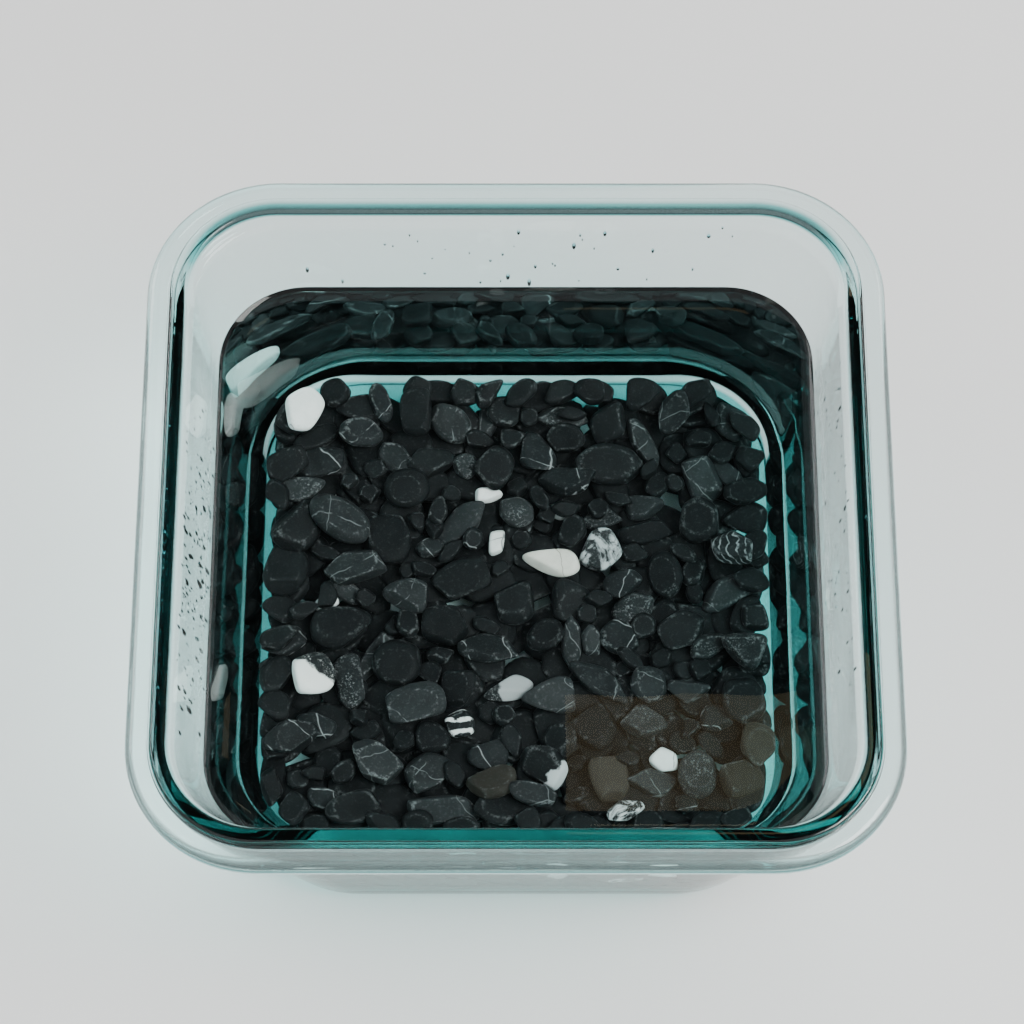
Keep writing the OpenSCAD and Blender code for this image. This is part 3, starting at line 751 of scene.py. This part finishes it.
def tumbled(ways, turn, far, flat, taper, rng):
    """Shapes of stones as points in units of their semi axes, and the wear at each point.

    turn and far are the headings and the distances of the planes that cut each outline; flat is how far
    out the top and bottom planes lie; taper narrows one end. The radius in a direction is the sum of
    one and of (cosine to a plane's heading over its distance) to a high power, to minus one over that
    power. The last axis of the result holds x, y, z along length, width and thickness.
    """
    count = len(turn)
    tip = rng.uniform(-EDGE_TIP, EDGE_TIP, turn.shape)
    normals = np.stack([np.cos(turn), np.sin(turn), tip], -1)
    lean = rng.normal(0, FACE_LEAN, (count, 2, 2))
    faces = np.concatenate([lean, np.broadcast_to([[1.0], [-1.0]], (count, 2, 1))], -1)
    normals = np.concatenate([normals, faces], 1)
    normals /= np.linalg.norm(normals, axis=2, keepdims=True)
    far = np.concatenate([far, flat * rng.uniform(0.9, 1.1, (count, 2))], 1)
    power = rng.uniform(*SHARPNESS, (count, 1))
    toward = np.maximum(np.einsum("snk,vk->snv", normals, ways), 0)
    pulls = (toward / far[..., None]) ** power[..., None]
    pulls = np.concatenate([np.ones((count, 1, len(ways))), pulls], 1)
    total = pulls.sum(1)
    radius = total ** (-1 / power)
    wear = 1 - pulls.max(1) / total
    for _ in range(DIMPLES):
        heading = rng.normal(size=(count, 3)) * rng.uniform(1.0, 2.6, (count, 1))
        radius *= 1 + DIMPLE_DEPTH * np.sin(heading @ ways.T + rng.uniform(0, 2 * math.pi, (count, 1)))
    shape = radius[..., None] * ways
    shape[..., 1] *= 1 - taper * shape[..., 0]
    low, high = shape.min(1, keepdims=True), shape.max(1, keepdims=True)
    shape = (shape - (low + high) / 2) / ((high - low) / 2)
    return shape, wear


# %% [markdown]
# ## What the stones look like
#
# Most of the stones are basalt: nearly black, matt, a little uneven in tone, with pale scuffs where edges
# have rubbed. Others carry veins of white calcite, or are speckled, or are plain quartz and marble. Each of
# these effects is a node group, so that every kind of stone below mixes the same few parts in its own
# amounts. All of them read the place on the stone in millimetres, so the pattern stays with a stone
# wherever it goes.

# %% [markdown]
# ### Grain and wear
#
# Basalt is fine-grained: one slow noise shifts its tone, one finer noise gives it tooth. Scuffs collect
# where edges are, and the wear stored with each point says where that is.

# %% Effect: the grain of a worn stone
SCUFF = (0.17, 0.18, 0.18, 1)
grain, gi, go = new_group(
    "Worn stone grain",
    [("Place", "Vector", None), ("Tone", "Float", 0.5), ("Wear", "Float", 0.0), ("Dark", "Color", None),
     ("Pale", "Color", None), ("Scuffs", "Float", 0.5)],
    [("Color", "Color"), ("Roughness", "Float"), ("Height", "Float")])
g_clouds = noise_of(grain, gi.outputs["Place"], 0.22, detail=3.0, roughness=0.6)
g_fine = noise_of(grain, gi.outputs["Place"], 1.3, detail=3.0, roughness=0.6)
g_share = math_of(grain, "ADD", math_of(grain, "MULTIPLY", gi.outputs["Tone"], 0.55),
                  math_of(grain, "MULTIPLY", ramp_of(grain, g_clouds, 0.35, 0.7), 0.35))
g_body = mix_of(grain, g_share, gi.outputs["Dark"], gi.outputs["Pale"])
g_edge = math_of(grain, "MULTIPLY", ramp_of(grain, gi.outputs["Wear"], 0.25, 0.55),
                 ramp_of(grain, g_fine, 0.4, 0.7))
g_dust = math_of(grain, "MULTIPLY", ramp_of(grain, g_fine, 0.5, 0.75), 0.14)
g_scuff = math_of(grain, "MULTIPLY", math_of(grain, "MAXIMUM", g_edge, g_dust), gi.outputs["Scuffs"])
g_color = mix_of(grain, g_scuff, g_body, SCUFF)
grain.links.new(g_color, go.inputs["Color"])
grain.links.new(ramp_of(grain, g_fine, 0.3, 0.7, 0.5, 0.75), go.inputs["Roughness"])
g_height = math_of(grain, "ADD", math_of(grain, "MULTIPLY", g_clouds, 0.6), g_fine)
grain.links.new(g_height, go.inputs["Height"])

# %% [markdown]
# ### Veins
#
# A vein is a crack that calcite filled, so it is a thin sheet, and on the stone's skin it shows as a
# nearly straight line. Two sets of evenly spaced sheets are bent a little by a slow noise. Where a
# place along a set's heading comes near the middle of its spacing, there is vein. A second noise breaks
# the lines off, as healed cracks end inside a stone.

# %% Effect: veins of calcite
veins, vi, vo = new_group(
    "Calcite veins",
    [("Place", "Vector", None), ("Thickness", "Float", 0.02), ("Spread", "Float", 0.13)],
    [("Mask", "Float")])
v_bend = put(veins, "ShaderNodeTexNoise", Vector=vi.outputs["Place"], Scale=0.07, Detail=3.0)
v_place = put(veins, "ShaderNodeVectorMath", {"operation": "MULTIPLY_ADD"}, in0=v_bend.outputs["Color"],
              in1=(9.0, 9.0, 9.0), in2=vi.outputs["Place"])


def sheet_line(heading, spacing_share):
    """Thin lines where evenly spaced sheets that face heading cut the stone."""
    along = put(veins, "ShaderNodeVectorMath", {"operation": "DOT_PRODUCT"}, in0=v_place.outputs[0],
                in1=heading).outputs["Value"]
    spacing = math_of(veins, "MULTIPLY", vi.outputs["Spread"], spacing_share)
    cycle = math_of(veins, "FRACT", math_of(veins, "MULTIPLY", along, spacing))
    near = math_of(veins, "ABSOLUTE", math_of(veins, "SUBTRACT", cycle, 0.5))
    return put(veins, "ShaderNodeMapRange", {"interpolation_type": "SMOOTHSTEP"}, Value=near,
               From_Min=vi.outputs["Thickness"], From_Max=0.0).outputs[0]


v_line = math_of(veins, "MAXIMUM", sheet_line((0.84, 0.5, 0.21), 1.0), sheet_line((-0.38, 0.9, 0.2), 0.8))
v_break = ramp_of(veins, noise_of(veins, vi.outputs["Place"], 0.3, detail=2.0), 0.38, 0.52)
veins.links.new(math_of(veins, "MULTIPLY", v_line, v_break), vo.inputs["Mask"])

# %% [markdown]
# ### Speckles
#
# Some stones hold small pale crystals, crowded in some parts and missing in others. A fine noise makes
# the crystals and a broad one says where they crowd.

# %% Effect: speckles of pale crystal
speckles, si, so = new_group("Crystal speckles", [("Place", "Vector", None), ("Amount", "Float", 0.5)],
                             [("Mask", "Float")])
s_fine = noise_of(speckles, si.outputs["Place"], 1.7, detail=5.0, roughness=0.75)
s_patch = ramp_of(speckles, noise_of(speckles, si.outputs["Place"], 0.3, detail=1.0), 0.35, 0.65)
s_spots = ramp_of(speckles, s_fine, 0.52, 0.64)
s_mask = math_of(speckles, "MULTIPLY", math_of(speckles, "MULTIPLY", s_spots, s_patch), si.outputs["Amount"])
speckles.links.new(s_mask, so.inputs["Mask"])

# %% [markdown]
# ### Clouds of marble
#
# Marble's white and grey flow into each other in sharp-edged clouds: a bent noise, cut at a share that
# says how much of the stone is white.

# %% Effect: clouds of marble
marble, mi, mo = new_group("Marble clouds", [("Place", "Vector", None), ("Share", "Float", 0.5),
                                             ("Softness", "Float", 0.05)], [("Mask", "Float")])
m_field = noise_of(marble, mi.outputs["Place"], 0.16, detail=5.0, roughness=0.62, distortion=1.2)
m_low = math_of(marble, "SUBTRACT", mi.outputs["Share"], mi.outputs["Softness"])
m_high = math_of(marble, "ADD", mi.outputs["Share"], mi.outputs["Softness"])
m_mask = put(marble, "ShaderNodeMapRange", {"interpolation_type": "SMOOTHSTEP"}, Value=m_field,
             From_Min=m_low, From_Max=m_high)
marble.links.new(m_mask.outputs[0], mo.inputs["Mask"])

# %% [markdown]
# ### Bands
#
# A few stones were laid down in layers, light and dark. The place across the stone, bent by a noise and
# cut into cycles, gives stripes; a second noise leaves some of them out.

# %% Effect: bands across a stone
bands, bi, bo = new_group("Mineral bands", [("Span", "Vector", None), ("Place", "Vector", None),
                                            ("Count", "Float", 5.0), ("Width", "Float", 0.3)],
                          [("Mask", "Float")])
b_wave = put(bands, "ShaderNodeVectorMath", {"operation": "DOT_PRODUCT"}, in0=bi.outputs["Span"],
             in1=(0.93, 0.36, 0.2)).outputs["Value"]
b_bent = math_of(bands, "ADD", b_wave, math_of(bands, "MULTIPLY",
                                               noise_of(bands, bi.outputs["Place"], 0.2, detail=3.0), 0.9))
b_cycle = math_of(bands, "FRACT", math_of(bands, "MULTIPLY", b_bent, bi.outputs["Count"]))
b_edge = math_of(bands, "ABSOLUTE", math_of(bands, "SUBTRACT", b_cycle, 0.5))
b_mask = put(bands, "ShaderNodeMapRange", {"interpolation_type": "SMOOTHSTEP"}, Value=b_edge,
             From_Min=bi.outputs["Width"], From_Max=math_of(bands, "MULTIPLY", bi.outputs["Width"], 0.6))
b_part = ramp_of(bands, noise_of(bands, bi.outputs["Place"], 0.4, detail=3.0), 0.36, 0.5)
bands.links.new(math_of(bands, "MULTIPLY", b_mask.outputs[0], b_part), bo.inputs["Mask"])
print("effects", [group.name for group in bpy.data.node_groups])

# %% [markdown]
# ### One recipe for every kind of stone
#
# Every kind is the same recipe with other amounts: a body of grain, then masks that lay a light mineral
# over it. Under water a stone hardly shines, because water and stone bend light alike, so its own
# reflection is set very low.



# %% The kinds of stone
WET_SPECULAR = 0.08


def stone_material(name, dark, pale, scuffs, vein=0.0, vein_scale=0.1, speckle=0.0, cloud=None, light=None,
                   band=0.0, band_width=0.1, side=None):
    """One kind of stone: grain for its body, then the clouds, speckles, bands and veins of its light
    mineral. Side paints one end, from that share of the half length on."""
    light = light or (0.62, 0.62, 0.6, 1)
    material, tree, shader, _ = new_material(name)
    place = put(tree, "ShaderNodeAttribute", {"attribute_name": "place_mm"}).outputs["Vector"]
    span = put(tree, "ShaderNodeAttribute", {"attribute_name": "span"}).outputs["Vector"]
    tone = put(tree, "ShaderNodeAttribute", {"attribute_name": "tone"}).outputs["Fac"]
    wear = put(tree, "ShaderNodeAttribute", {"attribute_name": "wear"}).outputs["Fac"]
    body = use_group(tree, grain, Place=place, Tone=tone, Wear=wear, Dark=dark, Pale=pale, Scuffs=scuffs)
    color = body.outputs["Color"]
    masks = []
    if cloud is not None:
        masks.append(use_group(tree, marble, Place=place, Share=cloud, Softness=0.06).outputs["Mask"])
    if speckle:
        masks.append(use_group(tree, speckles, Place=place, Amount=speckle).outputs["Mask"])
    if vein:
        masks.append(use_group(tree, veins, Place=place, Thickness=vein, Spread=vein_scale).outputs["Mask"])
    if band:
        banded = use_group(tree, bands, Span=span, Place=place, Count=band, Width=band_width)
        masks.append(banded.outputs["Mask"])
    if side is not None:
        ragged = math_of(tree, "MULTIPLY", noise_of(tree, place, 0.35, detail=4.0), 0.7)
        x_part = put(tree, "ShaderNodeSeparateXYZ", Vector=span).outputs[0]
        masks.append(ramp_of(tree, math_of(tree, "ADD", x_part, ragged), side, side + 0.12))
    for mask in masks:
        color = mix_of(tree, mask, color, light)
    tree.links.new(color, shader.inputs["Base Color"])
    tree.links.new(body.outputs["Roughness"], shader.inputs["Roughness"])
    shader.inputs["Specular IOR Level"].default_value = WET_SPECULAR
    bump = put(tree, "ShaderNodeBump", Strength=0.35, Distance=0.00008, Height=body.outputs["Height"])
    tree.links.new(bump.outputs[0], shader.inputs["Normal"])
    return material


# %% [markdown]
# ### The kinds that are in the dish
#
# Each kind answers to one material slot of the CAD model. The seven stones that stand out get a look of
# their own, and most of those that can be told apart get an outline chosen for them.

# %% Kinds, looks and outlines
BLACK = (0.003, 0.0035, 0.004, 1), (0.008, 0.009, 0.0095, 1)
GREY = (0.007, 0.008, 0.0085, 1), (0.023, 0.025, 0.026, 1)
DARK = (0.004, 0.005, 0.0055, 1), (0.014, 0.0155, 0.0165, 1)
WHITE_VEIN = (0.24, 0.25, 0.25, 1)

KINDS = {
    "stone_black": stone_material("Black basalt", *BLACK, 0.5),
    "stone_grey": stone_material("Grey basalt", *GREY, 0.9, vein=0.012, vein_scale=0.07,
                                 light=(0.13, 0.14, 0.14, 1)),
    "stone_veined": stone_material("Veined basalt", *DARK, 0.7, vein=0.022, vein_scale=0.11,
                                   light=WHITE_VEIN),
    "stone_speckled": stone_material("Speckled stone", *GREY, 0.7, speckle=0.7, light=(0.22, 0.23, 0.23, 1)),
    "stone_white": stone_material("White quartz", (0.6, 0.6, 0.57, 1), (0.8, 0.79, 0.77, 1), 0.25,
                                  vein=0.015, vein_scale=0.08, light=(0.2, 0.2, 0.2, 1)),
    "stone_cream": stone_material("Cream marble", (0.52, 0.49, 0.43, 1), (0.7, 0.66, 0.6, 1), 0.2,
                                  vein=0.015, vein_scale=0.08, light=(0.25, 0.23, 0.19, 1)),
    "stone_marbled": stone_material("Marbled stone", *GREY, 0.6, cloud=0.5, light=(0.5, 0.51, 0.5, 1)),
    "stone_warm": stone_material("Warm grey stone", (0.016, 0.014, 0.011, 1), (0.035, 0.031, 0.026, 1), 0.6),
}
OWN_LOOK = {
    "marbled_white": stone_material("Half white marble", *GREY, 0.5, speckle=0.6, side=0.22,
                                    light=(0.74, 0.73, 0.7, 1)),
    "marbled_grey": stone_material("Grey marble", *GREY, 0.6, cloud=0.47, speckle=0.5,
                                   light=(0.4, 0.42, 0.42, 1)),
    "striped_white": stone_material("White striped stone", *DARK, 0.7, band=1.3, band_width=0.22,
                                    light=(0.66, 0.67, 0.65, 1)),
    "striped_grey": stone_material("Grey striped stone", *GREY, 0.9, band=3.0, band_width=0.13,
                                    light=(0.2, 0.21, 0.21, 1)),
    "white_ringed": stone_material("White ringed stone", *BLACK, 0.5, cloud=0.53, speckle=0.5,
                                   light=(0.6, 0.61, 0.6, 1)),
    "veined_wedge": stone_material("Broad veined stone", *BLACK, 0.6, side=0.75,
                                   light=(0.42, 0.44, 0.44, 1)),
    "pale_lens": stone_material("Pale lens stone", *GREY, 0.7, speckle=0.9, side=-0.1,
                                light=(0.3, 0.31, 0.31, 1)),
}
OWN_SHAPE = {
    "white_oval": "knob", "grey_leaf": "lens", "round_black": "oval", "grey_oval": "oval",
    "long_grey": "cornered", "grey_wedge": "wedge", "grey_oblong": "slab", "black_oblong": "slab",
    "cream_drop": "drop", "black_oval": "oval", "striped_grey": "cornered", "grey_slab": "slab",
    "veined_lens": "lens", "grey_broad": "cornered", "pale_lens": "drop", "quartz_wedge": "wedge",
    "grey_cornered": "wedge", "veined_wedge": "cornered", "quartz_egg": "oval", "white_ringed": "lens",
}
print("kinds", len(KINDS), "own looks", len(OWN_LOOK), "own outlines", len(OWN_SHAPE))

# %% [markdown]
# ## Laying the bed
#
# Each CAD node of stones becomes one piece. All its stones are made together: one array holds every
# stone's shape, and each is stretched, turned and carried to where its ellipsoid lies. The buried ones are
# coarser than those that lie on top.

# %% Stones for every node
NODE_SLOT = {s["node"]: s["material_slot"] for s in frame["record"]["subparts"]}
NODE_BODY = {n: b for b, nodes in frame["record"]["behaviour"]["bodies"].items() for n in nodes}
# A real stone fills the corners that its ellipsoid leaves free, so the fixed ones spread a little further.
# Next to a wall they spread only along it.
SET_GROW = 0.06
HIDDEN_GROW = 0.4
WALL_FREE = 3.0
FLAT_FACES = 0.66
FIXED_TAPER = 0.08
PATTERN_FAR = 200
FIRST_SEED = 700
COARSE = ball(7)
MEDIUM = ball(11)
FINE = ball(16)


def stones_of(node, number):
    """Builds the visible stones of one CAD node and hangs them on its body."""
    loose = NODE_BODY[node] != "dish"
    buried = node.startswith(("floor_", "middle_"))
    ways, quads = FINE if loose else (COARSE if buried else MEDIUM)
    rng = np.random.default_rng(FIRST_SEED + number)
    found = [fit_ellipsoid(p) for p in separate_solids(frame["nodes"][node])]
    count = len(found)
    centre = np.array([f[0] for f in found])
    axes = np.array([f[1] for f in found])
    semi = np.array([f[2] for f in found])
    if node in OWN_SHAPE:
        turn, far = np.array(OUTLINES[OWN_SHAPE[node]])[None].transpose(2, 0, 1)
        turn = np.radians(turn)
    else:
        turn, far = random_outline(count, rng)
    taper = FIXED_TAPER if count > 1 else 0.0
    shape, wear = tumbled(ways, turn, far, FLAT_FACES, taper, rng)
    local = shape * semi[:, None, :]
    points = np.einsum("sij,svj->svi", axes, local)
    most = 0.0 if loose else (HIDDEN_GROW if buried else SET_GROW)
    room = IN_FLOOR - np.abs(centre[:, :2]) - np.abs(points[..., :2]).max(1)
    points[..., :2] *= 1 + most * np.clip(room / WALL_FREE, 0, 1)[:, None, :]
    points += centre[:, None, :]
    faces = (quads[None] + np.arange(count)[:, None, None] * len(ways)).reshape(-1, 4)
    look = OWN_LOOK.get(node) or KINDS[NODE_SLOT[node]]
    obj = make_object(node + "_stones", points.reshape(-1, 3) * MM, [faces], look)
    offset = rng.uniform(-PATTERN_FAR, PATTERN_FAR, (count, 1, 3))
    add_attribute(obj, "place_mm", (local + offset).reshape(-1, 3))
    add_attribute(obj, "span", shape.reshape(-1, 3))
    add_attribute(obj, "tone", np.repeat(rng.uniform(0, 1, count), len(ways)))
    add_attribute(obj, "wear", wear.ravel())
    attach(obj, NODE_BODY[node])
    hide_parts(node)
    return count


total = 0
for number, node in enumerate(sorted(NODE_SLOT)):
    if NODE_SLOT[node].startswith("stone"):
        total += stones_of(node, number)
print("stones laid", total)

# %% [markdown]
# ## The table
#
# The dish stands on a pale, plain table. It is one flat square with a very faint change of tone, 0.3 mm
# under the base, so that glass and table don't lie in one plane.

# %% Table
table_look, table_tree, table_shader, _ = new_material("Pale table")
table_place = put(table_tree, "ShaderNodeTexCoord").outputs["Object"]
table_tone = ramp_of(table_tree, noise_of(table_tree, table_place, 3.0, detail=3.0), 0.3, 0.7)
table_tree.links.new(mix_of(table_tree, table_tone, (0.8, 0.803, 0.8, 1), (0.83, 0.83, 0.823, 1)),
                     table_shader.inputs["Base Color"])
table_shader.inputs["Roughness"].default_value = 0.6
TABLE_HALF = 1.5
TABLE_Z = -0.0003
corners = np.array([[-1, -1, 0], [1, -1, 0], [1, 1, 0], [-1, 1, 0]]) * TABLE_HALF
corners[:, 2] = TABLE_Z
table = make_object("table_top", corners, [np.array([[0, 1, 2, 3]])], table_look)
print("table", 2 * TABLE_HALF, "m wide")

# %% [markdown]
# ## A low wall far round the table
#
# Clear glass has no colour of its own to draw its edges with: it shows them by bending in something
# darker. A grey wall round the far edge of the table gives it that, as a dark board does in a studio.

# %% Low wall round the table
WALL_POINTS = 96
WALL_R = 1.35
WALL_HIGH = 0.32
turn = np.linspace(0, 2 * math.pi, WALL_POINTS, endpoint=False)
ring = np.stack([WALL_R * np.cos(turn), WALL_R * np.sin(turn), 0 * turn], -1)
wall_look, wall_tree, wall_shader, _ = new_material("Grey wall")
wall_place = put(wall_tree, "ShaderNodeTexCoord").outputs["Object"]
wall_tree.links.new(mix_of(wall_tree, noise_of(wall_tree, wall_place, 4.0), (0.2, 0.205, 0.21, 1),
                           (0.26, 0.265, 0.27, 1)), wall_shader.inputs["Base Color"])
wall_shader.inputs["Roughness"].default_value = 0.9
wall_points = np.concatenate([ring, ring + [0, 0, WALL_HIGH]])
wall = make_object("low_wall", wall_points, [grid_faces(2, WALL_POINTS)], wall_look)
print("wall", WALL_HIGH, "m high,", WALL_R, "m out")

# %% [markdown]
# ## The light
#
# Soft light comes from all round, with a large weak lamp from the right and front and a weaker one from
# the left and back, so the shadow is faint. Cards that are seen only as reflections give the water a dark
# ceiling with a brown and a beige patch in it, and give the glass two bright windows.


# %% Lamps and cards
def aimed(obj, place, target):
    """Puts obj at place, facing target."""
    bpy.context.scene.collection.objects.link(obj)
    obj.location = place
    way = mathutils.Vector(target) - mathutils.Vector(place)
    obj.rotation_mode = "QUATERNION"
    obj.rotation_quaternion = way.to_track_quat("-Z", "Y")
    return obj


def lamp(name, place, target, size, power, color):
    """A soft square lamp that faces target."""
    data = bpy.data.lights.new(name, "AREA")
    data.size = size
    data.energy = power
    data.color = color
    return aimed(bpy.data.objects.new(name, data), place, target)


def card(name, points, color):
    """A four-cornered card that is seen only as a reflection, as a studio's flags and boards are."""
    look, tree, shader, _ = new_material(name)
    shader.inputs["Base Color"].default_value = (0, 0, 0, 1)
    shader.inputs["Roughness"].default_value = 1.0
    shader.inputs["Emission Color"].default_value = color
    shader.inputs["Emission Strength"].default_value = 1.0
    obj = make_object(name, np.array(points), [np.array([[0, 1, 2, 3]])], look)
    obj.visible_camera = False
    obj.visible_diffuse = False
    obj.visible_transmission = False
    obj.visible_shadow = False
    obj.visible_volume_scatter = False
    return obj


# %% Lamps
lamp("key_lamp", (0.9, -0.3, 1.3), (0, 0, 0.03), 0.7, 25, (1.0, 0.99, 0.97))
lamp("fill_lamp", (-1.1, 0.6, 1.1), (0, 0, 0.03), 1.2, 3, (0.95, 0.98, 1.0))
print("lamps", [data.name for data in bpy.data.lights])


# %% Corners of cards
def level(x0, x1, y0, y1, z):
    """The corners of a level card."""
    return [[x0, y0, z], [x0, y1, z], [x1, y1, z], [x1, y0, z]]


def upright(x, y0, y1, z0, z1):
    """The corners of an upright card that faces left or right."""
    return [[x, y0, z0], [x, y1, z0], [x, y1, z1], [x, y0, z1]]


# %% Cards and the light all round
card("ceiling_card", level(-1.6, 1.6, 0.25, 2.2, 2.0), (0.05, 0.065, 0.065, 1))
card("wood_card", level(0.033, 0.193, 0.5, 0.573, 1.55), (1.1, 0.88, 0.52, 1))
card("shelf_card", level(0.057, 0.18, 0.85, 0.9, 1.55), (1.9, 1.66, 1.15, 1))
card("left_window", upright(-1.0, 0.25, 0.95, 0.38, 0.95), (7.0, 7.0, 7.0, 1))
card("right_window", upright(1.0, 0.35, 0.85, 0.4, 0.75), (5.0, 5.0, 5.0, 1))
world = bpy.data.worlds.new("Studio")
bpy.context.scene.world = world
world.use_nodes = True
world.node_tree.nodes["Background"].inputs["Color"].default_value = (0.95, 0.96, 0.965, 1)
world.node_tree.nodes["Background"].inputs["Strength"].default_value = 1.08
print("light all round", world.node_tree.nodes["Background"].inputs["Strength"].default_value)

# %% [markdown]
# ## The camera
#
# The camera looks down steeply from in front, from about five dish widths away, with a long lens, so that
# the far wall looks only a little smaller than the near one. A very small shift frames the dish.

# %% Camera
CAMERA_RISE = math.radians(64.8)
CAMERA_FAR = 4.9046 * 2 * LIP_HALF * MM
camera = bpy.data.objects.new("camera", bpy.data.cameras.new("camera"))
bpy.context.scene.collection.objects.link(camera)
camera.data.sensor_width = 36.0
camera.data.lens = 123.3
camera.data.shift_x = -0.0039
camera.data.shift_y = -0.0051
camera.data.clip_start = 0.05
camera.location = (0, -CAMERA_FAR * math.cos(CAMERA_RISE), DISH_H * MM + CAMERA_FAR * math.sin(CAMERA_RISE))
camera.rotation_euler = (math.pi / 2 - CAMERA_RISE, 0, 0)
bpy.context.scene.camera = camera
print("camera at", [round(x, 3) for x in camera.location])
